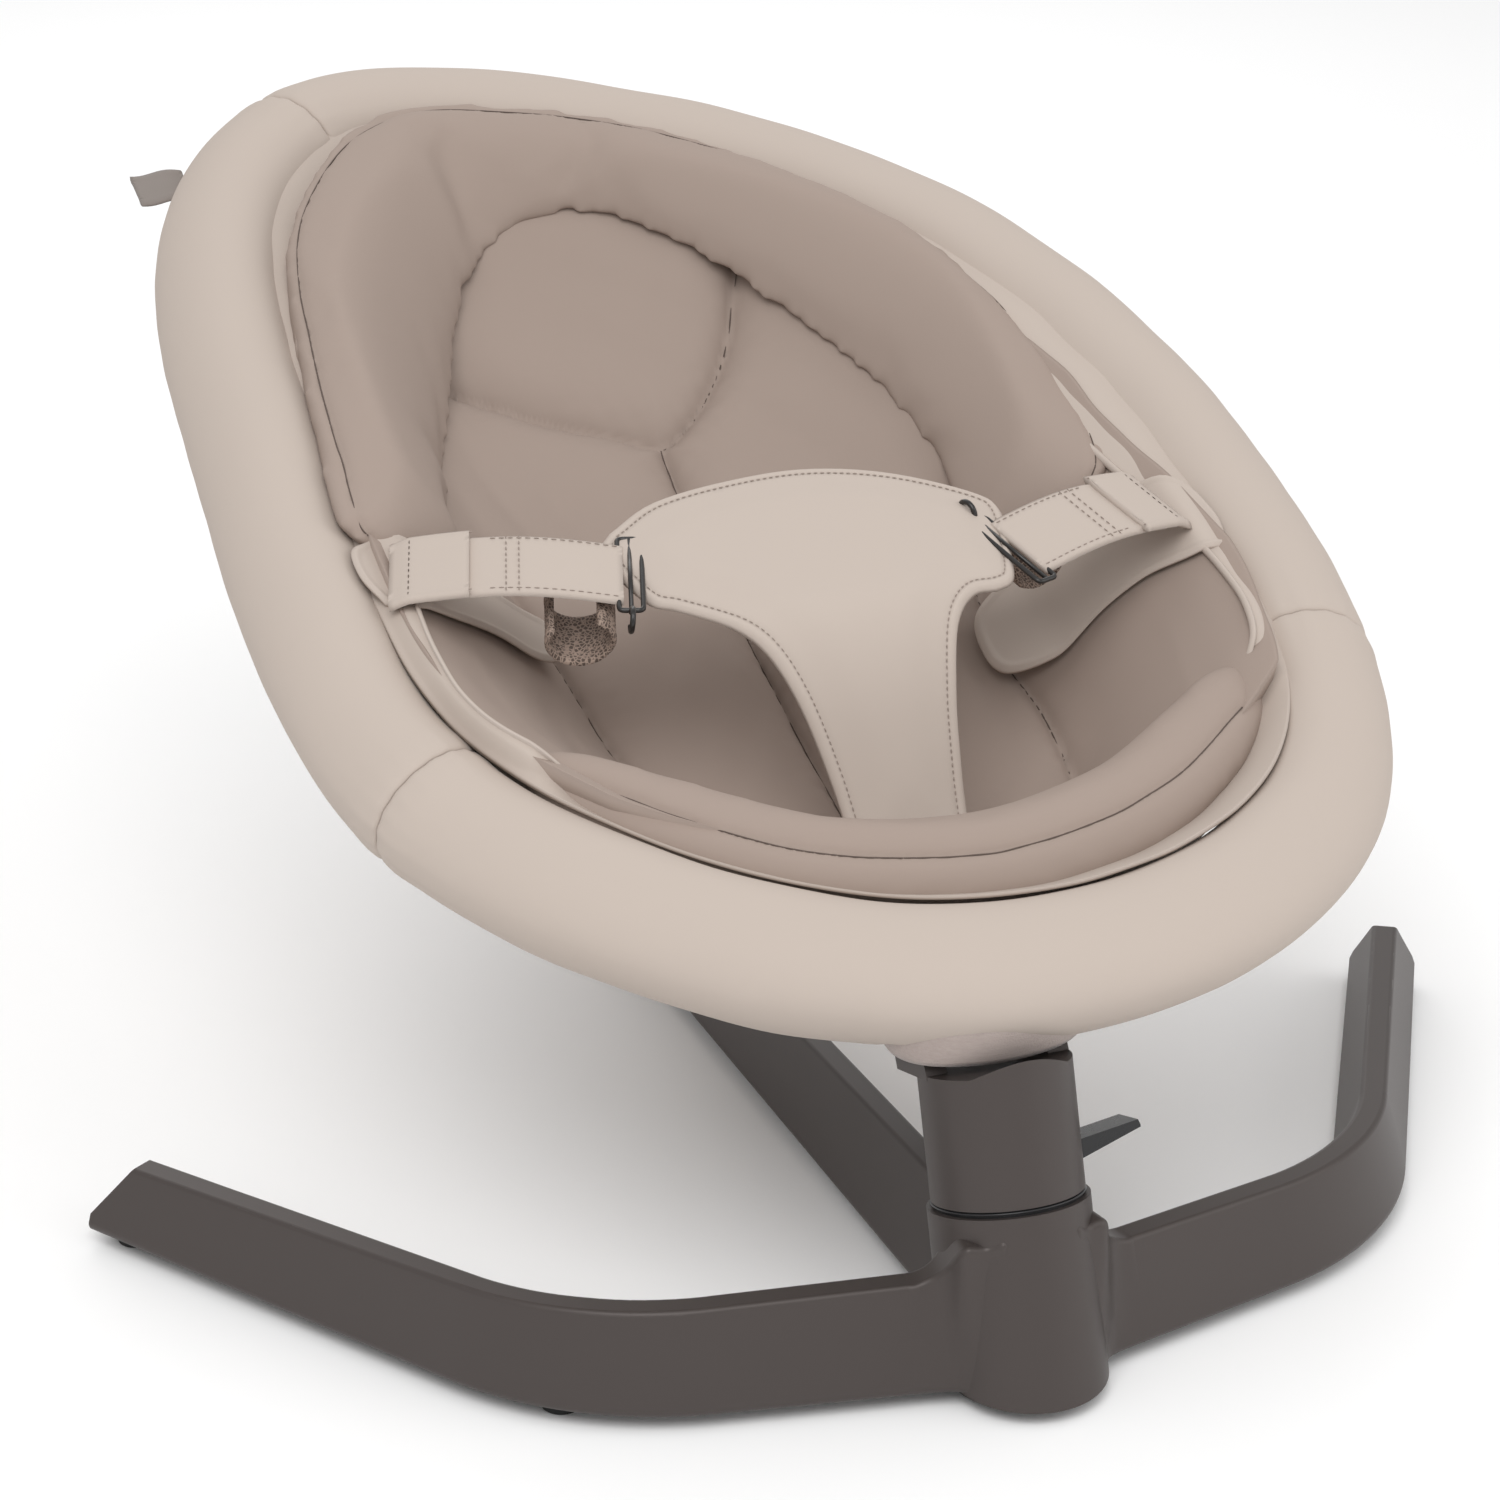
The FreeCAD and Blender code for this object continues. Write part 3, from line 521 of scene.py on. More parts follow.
@dataclass(frozen=True)
class Mesh3D:
    """Open spacer mesh on the back of the straps, the middles of its open cells painted dark as painted shade."""

    name: str
    pale: Colour
    dark: Colour

    def material(self) -> bpy.types.Material:
        """Build the mesh cloth, with painted shade in the middle of each cell."""
        s = Shader(self.name)
        cells = s.node("ShaderNodeTexVoronoi", {"feature": "DISTANCE_TO_EDGE"},
                       {"Vector": s.place((520, 520, 520)), "Scale": 1.0}, "Distance")
        # mask is 1 in the cells' middles, which take the dark colour: painted shade in the open cells.
        mask = s.node("ShaderNodeMapRange", {}, {0: cells, 1: 0.08, 2: 0.22})
        return s.finish(Base_Color=s.mix(mask, self.pale, self.dark), Roughness=0.9 - mask * 0.1,
                        Normal=s.bump(mask * -1.0, 0.0006, 0.8))


@dataclass(frozen=True)
class SatinPaint:
    """Metallic paint with a fine sparkle and a soft orange-peel."""

    name: str
    colour: Colour
    roughness: float = 0.42
    metallic: float = 0.55
    coat: float = 0.12

    def material(self) -> bpy.types.Material:
        """Build the paint."""
        s = Shader(self.name)
        flake = s.noise(s.place((2600, 2600, 2600)), 1.0, 1.0)
        cloud = s.noise(s.place((12, 12, 12)), 1.0, 2.0)
        pale = tuple(c * 1.35 for c in self.colour)
        dark = tuple(c * 0.78 for c in self.colour)
        rub = s.noise(s.place((60, 60, 60)), 1.0, 4.0, 0.65)
        return s.finish(Base_Color=s.mix(flake * 0.7 + cloud * 0.3, dark, pale),
                        Roughness=self.roughness - 0.05 + rub * 0.1, Metallic=self.metallic,
                        Coat_Weight=self.coat, Coat_Roughness=0.25,
                        Normal=s.bump(flake, 0.00006, 0.35, s.bump(rub, 0.0003, 0.08)))


@dataclass(frozen=True)
class Moulded:
    """Moulded plastic or rubber with a fine grain."""

    name: str
    colour: Colour
    roughness: float
    grain: float = 900.0
    relief: float = 0.00005

    def material(self) -> bpy.types.Material:
        """Build the plastic."""
        s = Shader(self.name)
        grain = s.noise(s.place((self.grain,) * 3), 1.0, 2.0)
        cloud = s.noise(s.place((25, 25, 25)), 1.0, 3.0)
        pale = tuple(c * 1.4 + 0.002 for c in self.colour)
        return s.finish(Base_Color=s.mix(cloud * 0.6 + grain * 0.3, self.colour, pale),
                        Roughness=self.roughness - 0.04 + cloud * 0.08, Normal=s.bump(grain, self.relief, 0.4))


@dataclass(frozen=True)
class Metal:
    """Bare turned or drawn metal."""

    name: str
    colour: Colour
    roughness: float = 0.32

    def material(self) -> bpy.types.Material:
        """Build the metal."""
        s = Shader(self.name)
        lines = s.noise(s.place((60, 900, 900)), 1.0, 2.0)
        pale = tuple(min(1.0, c * 1.15) for c in self.colour)
        return s.finish(Base_Color=s.mix(lines, self.colour, pale), Metallic=0.95,
                        Roughness=self.roughness - 0.05 + lines * 0.1, Normal=s.bump(lines, 0.00003, 0.3))


class Finish(Enum):
    """Every finish on the bouncer."""

    KNIT = Knit("melange_knit", (0.4, 0.346, 0.312), (0.26, 0.218, 0.194), 1.0)
    KNIT_UNDER = Knit("melange_knit_under", (0.455, 0.385, 0.355), (0.325, 0.268, 0.245), 0.35)
    JERSEY = Jersey("brushed_jersey", (0.385, 0.315, 0.268), (0.285, 0.228, 0.192))
    LINING = Jersey("sling_lining", (0.44, 0.375, 0.33), (0.34, 0.285, 0.245), 0.15)
    THREAD_PALE = Thread("thread_pale", (0.36, 0.29, 0.25))
    # This dark thread finish is painted shade: a thin dark line laid in closed seams for their shaded crease.
    THREAD_DARK = Thread("thread_dark", (0.13, 0.095, 0.078))
    # The spacer's dark colour is painted shade inside its open cells.
    SPACER = Mesh3D("spacer_mesh", (0.36, 0.27, 0.22), (0.10, 0.07, 0.055))
    RIBBON = Knit("label_ribbon", (0.30, 0.27, 0.255), (0.22, 0.195, 0.18), 0.4, 0.0)
    PAINT = SatinPaint("base_paint", (0.018, 0.0145, 0.0142))
    RUBBER = Moulded("foot_rubber", (0.012, 0.012, 0.012), 0.62)
    BLACK = Moulded("black_acetal", (0.010, 0.010, 0.011), 0.28, 500.0, 0.00002)
    STEEL = Metal("ground_steel", (0.52, 0.52, 0.53), 0.28)
    ALUMINIUM = Metal("mill_aluminium", (0.58, 0.585, 0.59), 0.36)
    LACQUER = SatinPaint("black_lacquer", (0.020, 0.018, 0.017), 0.3, 0.4, 0.3)

    def made(self) -> bpy.types.Material:
        """The material, built once."""
        found = bpy.data.materials.get(self.value.name)
        return found or self.value.material()


def dress(piece: bpy.types.Object, finish: Finish, body: str,
          stands_for: Sequence[str] = ()) -> bpy.types.Object:
    """Give a finished mesh its material, body and slot.

    Args:
        piece: the object.
        finish: its finish.
        body: the CAD body it moves with.
        stands_for: CAD nodes that it replaces.

    Returns:
        The same object.
    """
    if not piece.data.materials:
        piece.data.materials.append(finish.made())
    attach(piece, body)
    if stands_for:
        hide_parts(*stands_for)
    log.info("%s: %d faces on %s", piece.name, len(piece.data.polygons), body)
    return piece


# ---------------------------------------------------------------- stitches
@dataclass
class Stitching:
    """A row of short thread loops along a line, made by a node tree."""

    length: float = 2.6
    gap: float = 1.2
    thick: float = 0.33

    def tree(self, finish: Finish) -> bpy.types.NodeTree:
        """The node tree for one thread, built once.

        Args:
            finish: the thread's finish.

        Returns:
            The tree with inputs Pitch, Length and Thickness.
        """
        name = "stitches_" + finish.value.name
        if name in bpy.data.node_groups:
            return bpy.data.node_groups[name]
        tree = bpy.data.node_groups.new(name, "GeometryNodeTree")
        face = tree.interface
        face.new_socket("Geometry", in_out="INPUT", socket_type="NodeSocketGeometry")
        for label in ("Pitch", "Length", "Thickness"):
            face.new_socket(label, in_out="INPUT", socket_type="NodeSocketFloat")
        face.new_socket("Geometry", in_out="OUTPUT", socket_type="NodeSocketGeometry")
        add, link = tree.nodes.new, tree.links.new
        start, end = add("NodeGroupInput"), add("NodeGroupOutput")
        curve = add("GeometryNodeMeshToCurve")
        spaced = add("GeometryNodeResampleCurve")
        spaced.mode = "LENGTH"
        points = add("GeometryNodeCurveToPoints")
        points.mode = "EVALUATED"
        loop = add("GeometryNodeMeshUVSphere")
        loop.inputs["Segments"].default_value = 6
        loop.inputs["Rings"].default_value = 4
        loop.inputs["Radius"].default_value = 0.5
        shape = add("ShaderNodeCombineXYZ")
        sized = add("GeometryNodeTransform")
        copies = add("GeometryNodeInstanceOnPoints")
        real = add("GeometryNodeRealizeInstances")
        paint = add("GeometryNodeSetMaterial")
        paint.inputs["Material"].default_value = finish.made()
        link(start.outputs["Geometry"], curve.inputs["Mesh"])
        link(curve.outputs["Curve"], spaced.inputs["Curve"])
        link(start.outputs["Pitch"], spaced.inputs["Length"])
        link(spaced.outputs["Curve"], points.inputs["Curve"])
        link(points.outputs["Points"], copies.inputs["Points"])
        link(points.outputs["Rotation"], copies.inputs["Rotation"])
        link(start.outputs["Thickness"], shape.inputs["X"])
        link(start.outputs["Thickness"], shape.inputs["Y"])
        link(start.outputs["Length"], shape.inputs["Z"])
        link(loop.outputs["Mesh"], sized.inputs["Geometry"])
        link(shape.outputs["Vector"], sized.inputs["Scale"])
        link(sized.outputs["Geometry"], copies.inputs["Instance"])
        link(copies.outputs["Instances"], real.inputs["Geometry"])
        link(real.outputs["Geometry"], paint.inputs["Geometry"])
        link(paint.outputs["Geometry"], end.inputs["Geometry"])
        return tree

    def sew(self, name: str, lines: Sequence[Array], finish: Finish, body: str) -> bpy.types.Object:
        """Sew along lines.

        Args:
            name: the piece's name.
            lines: each one rows of (x, y, z) in metres.
            finish: the thread.
            body: the body the cloth moves with.

        Returns:
            All the stitches as one mesh.
        """
        data = bpy.data.meshes.new(name)
        points, edges = [], []
        for line in lines:
            base = len(points)
            points += [tuple(map(float, p)) for p in line]
            edges += [(base + k, base + k + 1) for k in range(len(line) - 1)]
        data.from_pydata(points, edges, [])
        piece = bpy.data.objects.new(name, data)
        bpy.context.scene.collection.objects.link(piece)
        tree = self.tree(finish)
        modifier = piece.modifiers.new("stitches", "NODES")
        modifier.node_group = tree
        values = {"Pitch": (self.length + self.gap) * MM, "Length": self.length * MM, "Thickness": self.thick * 2 * MM}
        for item in tree.interface.items_tree:
            if item.item_type == "SOCKET" and item.in_out == "INPUT" and item.name in values:
                modifier[item.identifier] = values[item.name]
        Piece.apply(piece)
        return dress(piece, finish, body)


# ---------------------------------------------------------------- the bowl that the pads line
@dataclass
class Bowl:
    """Level of the seat's lining at each distance in from the rim."""

    inset: tuple[float, ...] = (0, 15, 30, 45, 60, 82, 108, 148, 200, 330)
    level: tuple[float, ...] = (40, 36, 29, 18, 5, -12, -34, -52, -58, -60)
    tilt: float = 0.0022

    def polar(self, plan: Array) -> tuple[Array, Array]:
        """Share of the way round and inset of plan points.

        Args:
            plan: rows of (u, s).

        Returns:
            The shares and the insets, in millimetres.
        """
        centre = np.array(RIM.centre)
        line = RIM.line - centre
        turn = np.unwrap(np.arctan2(line[:, 1], line[:, 0]))
        far = np.hypot(line[:, 0], line[:, 1])
        v = plan - centre
        angle = np.arctan2(v[:, 1], v[:, 0])
        angle = turn[0] + np.mod(angle - turn[0], 2 * math.pi)
        edge = np.interp(angle, np.append(turn, turn[0] + 2 * math.pi), np.append(far, far[0]))
        share = np.interp(angle, np.append(turn, turn[0] + 2 * math.pi), np.linspace(0, 1, len(turn) + 1))
        return share, edge - np.hypot(v[:, 0], v[:, 1])

    def height(self, plan: Array) -> Array:
        """Level n of the lining at plan points."""
        _, inset = self.polar(plan)
        fine = np.linspace(-20, 340, 721)
        soft = np.convolve(np.interp(np.linspace(-40, 360, 801), self.inset, self.level), np.ones(25) / 25, "same")
        n = np.interp(inset, fine, soft[40:761])
        return np.where(n < 0, n * (1 - self.tilt * (plan[:, 1] - RIM.centre[1])), n)


BOWL = Bowl()


# ---------------------------------------------------------------- sub-assemblies
@dataclass
class PaddedRim:
    """Three sewn lengths of padded cover around the seat's loop."""

    outer: float = 34.0
    inner_foot: float = 27.5
    top_foot: float = 29.0
    seam_dip: float = 1.7
    underseam_deg: float = 222.0
    right_seam: tuple[float, float] = (233, 150)
    tip_seam: tuple[float, float] = (-128, 639)
    foot_share: tuple[float, float] = (-0.12, 0.36)

    def shape(self, share: float, angle: Array) -> tuple[Array, Array]:
        """Section of the cover.

        Args:
            share: place round the rim.
            angle: directions, 0 outwards, 90 degrees up.

        Returns:
            How far each point is inwards and up from the centre line.
        """
        low, high = self.foot_share
        at = share if share < 0.7 else share - 1
        foot = float(ease(np.array((at - low) / 0.12)) * ease(np.array((high - at) / 0.12)))
        inner = self.outer + (self.inner_foot - self.outer) * foot
        top = self.outer + (self.top_foot - self.outer) * foot
        c, s = np.cos(angle), np.sin(angle)
        wide = np.where(c > 0, self.outer, inner)
        tall = np.where(s > 0, top, self.outer)
        return -c * wide, s * tall

    def angles(self) -> Array:
        """Directions round the section, close together at the under seam."""
        even = np.radians(np.linspace(0, 360, 72, endpoint=False))
        seam = math.radians(self.underseam_deg)
        close = seam + np.array([-3.2, -1.6, -0.8, -0.3, 0, 0.3, 0.8, 1.6, 3.2]) / self.outer
        even = even[np.abs(even - seam) > 5.0 / self.outer]
        return np.sort(np.concatenate([even, close]))

    def surface(self, share: float, angle: Array, swell: float = 0.0) -> Array:
        """Points of the cover in seat millimetres.

        Args:
            share: place round the rim.
            angle: directions round the section.
            swell: extra millimetres outwards.

        Returns:
            Rows of (u, s, n).
        """
        inwards, up = self.shape(share, angle)
        size = np.hypot(inwards, up)
        grow = 1 + swell / size
        mid, way = RIM.at(np.array([share]))[0], RIM.inward(np.array([share]))[0]
        flat = mid + (inwards * grow)[:, None] * way
        return np.column_stack([flat, up * grow])

    def length(self, name: str, node: str, first: float, last: float) -> bpy.types.Object:
        """One sewn length.

        Args:
            name: the piece's name.
            node: the CAD node that it replaces.
            first: share where it starts.
            last: share where it ends.

        Returns:
            The dressed piece.
        """
        run = (last - first) * RIM.length
        inside = np.linspace(first + 4 / RIM.length, last - 4 / RIM.length, int(run / 4))
        near = np.array([0.12, 0.5, 1.1, 2.2]) / RIM.length
        shares = np.concatenate([first + near, inside, last - near[::-1]])
        angle = self.angles()
        seam = math.radians(self.underseam_deg)
        rows = []
        for share in shares:
            ring = self.surface(share, angle)
            edge = min(share - first, last - share) * RIM.length
            dip = -self.seam_dip * math.exp(-edge / 1.1) + 0.5 * math.exp(-((edge - 9) / 6) ** 2)
            waves = ripple(ring, 95.0, 3) * 0.55 + ripple(ring, 42.0, 4) * 0.18
            pucker = 0.35 * math.exp(-edge / 14) * np.sin(angle * 19 + ripple(ring, 60, 5))
            under = -1.3 * np.exp(-np.abs(angle - seam) * self.outer / 0.9)
            under = under + 0.45 * np.exp(-((np.abs(angle - seam) * self.outer - 6) / 4) ** 2)
            shift = dip + waves + pucker + under
            ring = self.surface_shift(share, angle, shift)
            rows.append(self.clear_of_mount(SEAT.to_row(ring)))
        piece = Piece.grid(name, np.array(rows))
        return dress(piece, Finish.KNIT, "seat", [node])

    def surface_shift(self, share: float, angle: Array, shift: Array) -> Array:
        """Section points, each moved outwards by its own amount."""
        inwards, up = self.shape(share, angle)
        grow = 1 + shift / np.hypot(inwards, up)
        mid, way = RIM.at(np.array([share]))[0], RIM.inward(np.array([share]))[0]
        return np.column_stack([mid + (inwards * grow)[:, None] * way, up * grow])

    def clear_of_mount(self, points: Array) -> Array:
        """Lift the cover's underside over the post's head."""
        x, y, z = points.T
        over = ease((0.054 - np.abs(x)) / 0.012) * ease((y - 0.037) / 0.008)
        lift = np.where(over > 0, 0.1645, -1.0)
        raised = np.where(z < lift, z + (lift - z) * over, z)
        return np.column_stack([x, y, raised])

    def build(self) -> None:
        """Make the three lengths."""
        left = RIM.share_near(-202, 150)
        right = RIM.share_near(*self.right_seam)
        tip = RIM.share_near(*self.tip_seam)
        left = left - 1 if left > 0.5 else left
        self.length("cover_front", "rim_cover_front", left, right)
        self.length("cover_right", "rim_cover_right", right, tip)
        self.length("cover_left", "rim_cover_left", tip, left + 1)


@dataclass
class Sling:
    """Outer shell of cloth that hangs from the rim under the pads."""

    rings: tuple[tuple[float, float], ...] = ((30, 12), (38, -12), (45, -22), (53, -38), (66, -54), (84, -67),
                                              (119, -80), (170, -86), (240, -88))
    columns: int = 220

    def build(self) -> bpy.types.Object:
        """Make the shell with a seam down its middle."""
        share = np.linspace(0, 1, self.columns, endpoint=False)
        mid, way = RIM.at(share), RIM.towards_centre(share)
        outside, inside = [], []
        for inset, level in self.rings:
            plan = mid + way * inset
            n = np.where(level < 0, level * (1 - 0.0022 * (plan[:, 1] - 300)), level)
            wave = ripple(np.column_stack([plan, n]), 80, 8) * (0.9 if inset > 45 else 0.2)
            seam = 1.6 * np.exp(-np.abs(plan[:, 0] - 10) / 2.5) * (inset > 50)
            outside.append(np.column_stack([plan, n + wave + seam]))
            inside.append(np.column_stack([plan + way * 2.0, n + wave + seam + 2.2]))
        rows = np.array([SEAT.to_row(r) for r in inside[::-1] + outside])
        piece = Piece.grid("sling", rows)
        Piece.modify(piece, "SUBSURF", levels=1, render_levels=1)
        Piece.apply(piece)
        return dress(piece, Finish.LINING, "seat", ["seat_sling"])


@dataclass
class Opening:
    """Flat of the cover inside the rim, bound where the pads come through it."""

    edge: tuple[tuple[float, float], ...] = (
        (-178, 300), (-181, 268), (-185, 236), (-186, 205), (-184, 175), (-172, 148), (-142, 124), (-100, 96),
        (-51, 74), (-5, 66), (52, 66), (100, 80), (140, 98), (176, 122), (192, 138), (199, 160), (201, 185),
        (199, 215), (194, 250), (188, 285), (182, 320), (178, 355), (165, 400), (150, 445), (110, 505), (60, 552),
        (5, 585), (-62, 600), (-100, 585), (-135, 545), (-158, 500), (-172, 430), (-180, 370), (-180, 330))
    flats: tuple[tuple[tuple[float, float], ...], ...] = (
        ((-196, 250), (-180, 244), (-160, 250), (-134, 258), (-104, 262), (-100, 275), (-104, 288), (-140, 292),
         (-180, 296), (-200, 288), (-203, 268)),
        ((212, 205), (196, 206), (178, 214), (158, 216), (136, 213), (116, 220), (110, 236), (114, 258), (140, 268),
         (176, 268), (208, 256), (216, 230)))
    slack: float = 6.0
    foot_drop: float = 24.0

    def radius(self, turn: Array) -> Array:
        """Distance of the bound edge from the seat's centre in each direction."""
        v = smooth_line(self.edge + (self.edge[0],), 700) - np.array(RIM.centre)
        angle = np.unwrap(np.arctan2(v[:, 1], v[:, 0]))
        base = angle[0]
        order = np.argsort(np.mod(angle - base, 2 * math.pi))
        return np.interp(np.mod(turn - base, 2 * math.pi), np.mod(angle - base, 2 * math.pi)[order],
                         np.hypot(v[:, 0], v[:, 1])[order], period=2 * math.pi)

    def inset_at(self, share: Array) -> Array:
        """How far in from the rim's centre line the bound edge lies."""
        v = RIM.at(share) - np.array(RIM.centre)
        return np.hypot(v[:, 0], v[:, 1]) - self.radius(np.arctan2(v[:, 1], v[:, 0]))

    def build(self) -> bpy.types.Object:
        """The flat, as one closed band with a rolled edge."""
        turn = np.linspace(0, 2 * math.pi, 640, endpoint=False)
        way = np.column_stack([np.cos(turn), np.sin(turn)])
        inner = np.array(RIM.centre) + way * self.radius(turn)[:, None]
        _, inset = BOWL.polar(inner)
        start = np.minimum(inset - 4.0, 20.0)
        outer = inner + way * (inset - start)[:, None]
        hidden = ease((142 - inner[:, 1]) / 34)
        floor = BOWL.height(inner) + self.slack - self.foot_drop * hidden
        crest = BOWL.height(outer) - 9.0
        rows = []
        for t in np.linspace(0, 1, 22):
            plan = outer + (inner - outer) * t
            n = crest + (floor - crest) * t
            lift = self.slack * float(ease(np.array(t * 1.4))) - 9.0 * (1 - t) - self.foot_drop * hidden
            n = np.maximum(n, BOWL.height(plan) + lift)
            rows.append(np.column_stack([plan, n + ripple(plan, 60, 21) * 0.5]))
        lip = rows[-1]
        roll = [lip + np.column_stack([-way * (2.2 * math.sin(a)), np.full(len(way), 2.2 * math.cos(a) - 0.2)])
                for a in np.linspace(-0.3, 3.4, 8)]
        under = [r - (0, 0, 2.4) for r in rows[::-1]]
        shell = np.array([SEAT.to_row(r) for r in rows + roll + under]).transpose(1, 0, 2)
        piece = Piece.grid("cover_opening", np.concatenate([shell, shell[:1]]), caps=False)
        dress(piece, Finish.KNIT, "seat")
        for side, outline in zip(("left", "right"), self.flats):
            self.flat("cover_flat_" + side, outline)
        return piece

    def flat(self, name: str, outline: tuple[tuple[float, float], ...]) -> bpy.types.Object:
        """A tongue of the cover under a strap.

        Args:
            name: the piece's name.
            outline: its plan corners.

        Returns:
            The dressed piece.
        """
        ring = smooth_line(outline + (outline[0],), 121)[:-1]
        plan, faces, _ = Harness.filled(ring, 3.0)
        _, inset = BOWL.polar(plan)
        gap = polyline_distance(plan, ring, True)
        base = BOWL.height(plan) + self.slack + 3.0 - 12.0 * ease((44 - inset) / 22)
        bead = 1.3 * np.exp(-((gap - 2.2) / 1.4) ** 2)
        upper = np.column_stack([plan, base + bead + 0.8 * ease(gap / 2)])
        lower = np.column_stack([plan, base - 1.6])
        lower[: len(ring), 2] = upper[: len(ring), 2] = base[: len(ring)]
        points = np.vstack([SEAT.to_row(upper), SEAT.to_row(lower)])
        both = faces + [tuple(i + len(plan) for i in f[::-1]) for f in faces]
        return dress(Piece.mesh(name, points, both), Finish.KNIT, "seat")


OPENING = Opening()


@dataclass
class Insert:
    """The sewn pad: bowl lining with its seams, head bolster and front roll."""

    headrest: tuple[tuple[float, float], ...] = ((-104, 484), (-85, 472), (-62, 459), (-38, 447), (-12, 434), (10, 424),
                                                 (28, 434), (44, 450), (60, 471), (72, 496), (82, 520))
    middle: tuple[tuple[float, float], ...] = ((10, 424), (9, 399), (8, 375), (10, 330), (14, 240), (18, 150), (20, 100))
    right_side: tuple[tuple[float, float], ...] = ((131, 330), (125, 270), (125, 236), (129, 198), (123, 151), (112, 110))
    left_side: tuple[tuple[float, float], ...] = ((-108, 330), (-97, 285), (-88, 252), (-79, 205), (-76, 160), (-88, 120))
    puff: float = 13.0
    soft: float = 12.0
    outer_inset: float = 27.0
    bolster_outer: tuple[tuple[float, float], ...] = (
        (-203, 284), (-200, 325), (-197, 370), (-190, 430), (-177, 500), (-149, 557), (-107, 608), (-62, 624),
        (10, 610), (76, 574), (137, 515), (178, 456), (195, 398), (200, 349), (194, 305), (183, 272))
    bolster_crest: tuple[float, ...] = (47, 47, 47, 47, 47, 46, 44, 42, 40, 38, 35, 31, 29, 28, 27, 26)
    bolster_inner: tuple[tuple[float, float], ...] = (
        (-132, 280), (-130, 325), (-110, 405), (-87, 475), (-62, 531), (-38, 555), (-10, 560), (20, 548),
        (56, 510), (86, 466), (109, 422), (122, 377), (128, 330), (126, 258))
    bolster_shape: tuple[tuple[float, float], ...] = (
        (0.02, 0.84), (-0.015, 0.90), (0.00, 0.97), (0.07, 1.00), (0.22, 0.985), (0.42, 0.86), (0.62, 0.62),
        (0.82, 0.33), (0.96, 0.11), (1.00, 0.02), (0.97, -0.02), (0.85, 0.06), (0.66, 0.24), (0.46, 0.44),
        (0.26, 0.62), (0.10, 0.76))

    def lining(self) -> bpy.types.Object:
        """The quilted lining over the whole bowl."""
        rings, columns = 130, 420
        share = np.linspace(0, 1, columns, endpoint=False)
        mid, way, reach = RIM.at(share), RIM.towards_centre(share), RIM.reach(share)
        seams = [(self.headrest, False), (self.middle, False), (self.right_side, False), (self.left_side, False)]
        edge = np.maximum(self.outer_inset, OPENING.inset_at(share) - 14.0)
        top, low = [], []
        for k in range(rings):
            inset = edge + (k / rings) * (reach - edge)
            plan = mid + way * inset[:, None]
            base = BOWL.height(plan)
            gap = np.full(columns, 1e9)
            for line, closed in seams:
                run = line + (line[0],) if closed else line
                gap = np.minimum(gap, polyline_distance(plan, smooth_line(run, 70)))
            puffed = self.puff * (1 - np.exp(-gap / self.soft)) - 2.6 * np.exp(-gap / 2.0)
            wave = ripple(plan, 70, 11) * 1.1 + ripple(plan, 33, 12) * 0.35
            tuck = 0.5 * np.exp(-gap / 12) * ripple(plan, 13, 13)
            n = base + puffed - self.puff * 0.75 + wave + tuck
            top.append(np.column_stack([plan, n]))
            low.append(np.column_stack([plan, base - 16 - 6 * min(1.0, k / 10)]))
        rim_edge = top[0].copy()
        rim_edge[:, 2] -= 8
        rows = np.array([SEAT.to_row(r) for r in low[::4][::-1] + [rim_edge] + top])
        piece = Piece.grid("insert_lining", rows)
        # Each seam gets a thin dark line at the bottom of its dip: painted shade for the seam's crease.
        for label, (line, _) in zip(("headrest", "middle", "right", "left"), seams):
            flat = smooth_line(line, 130)
            level = BOWL.height(flat) - self.puff * 0.75 - 2.6
            self.thread(piece, SEAT.to_row(np.column_stack([flat, level])), "lining_seam_" + label)
        return dress(piece, Finish.JERSEY, "seat",
                     ["insert_back", "insert_seat", "headrest_panel"])

    def edge_radius(self, line: Sequence[tuple[float, float]], turn: Array) -> Array:
        """Distance of a line from the seat's centre in each direction.

        Args:
            line: corners (u, s) in order round the centre.
            turn: directions in radians.

        Returns:
            One distance for each direction.
        """
        v = smooth_line(line, 200) - np.array(RIM.centre)
        angle = np.arctan2(v[:, 1], v[:, 0])
        angle = np.where(angle < -2.4, angle + 2 * math.pi, angle)
        order = np.argsort(angle)
        return np.interp(turn, angle[order], np.hypot(v[:, 0], v[:, 1])[order])

    def crest(self, turn: Array) -> Array:
        """Level of the bolster's top in each direction."""
        v = np.array(self.bolster_outer, float) - np.array(RIM.centre)
        angle = np.arctan2(v[:, 1], v[:, 0])
        angle = np.where(angle < -2.4, angle + 2 * math.pi, angle)
        order = np.argsort(angle)
        return np.interp(turn, angle[order], np.array(self.bolster_crest)[order])

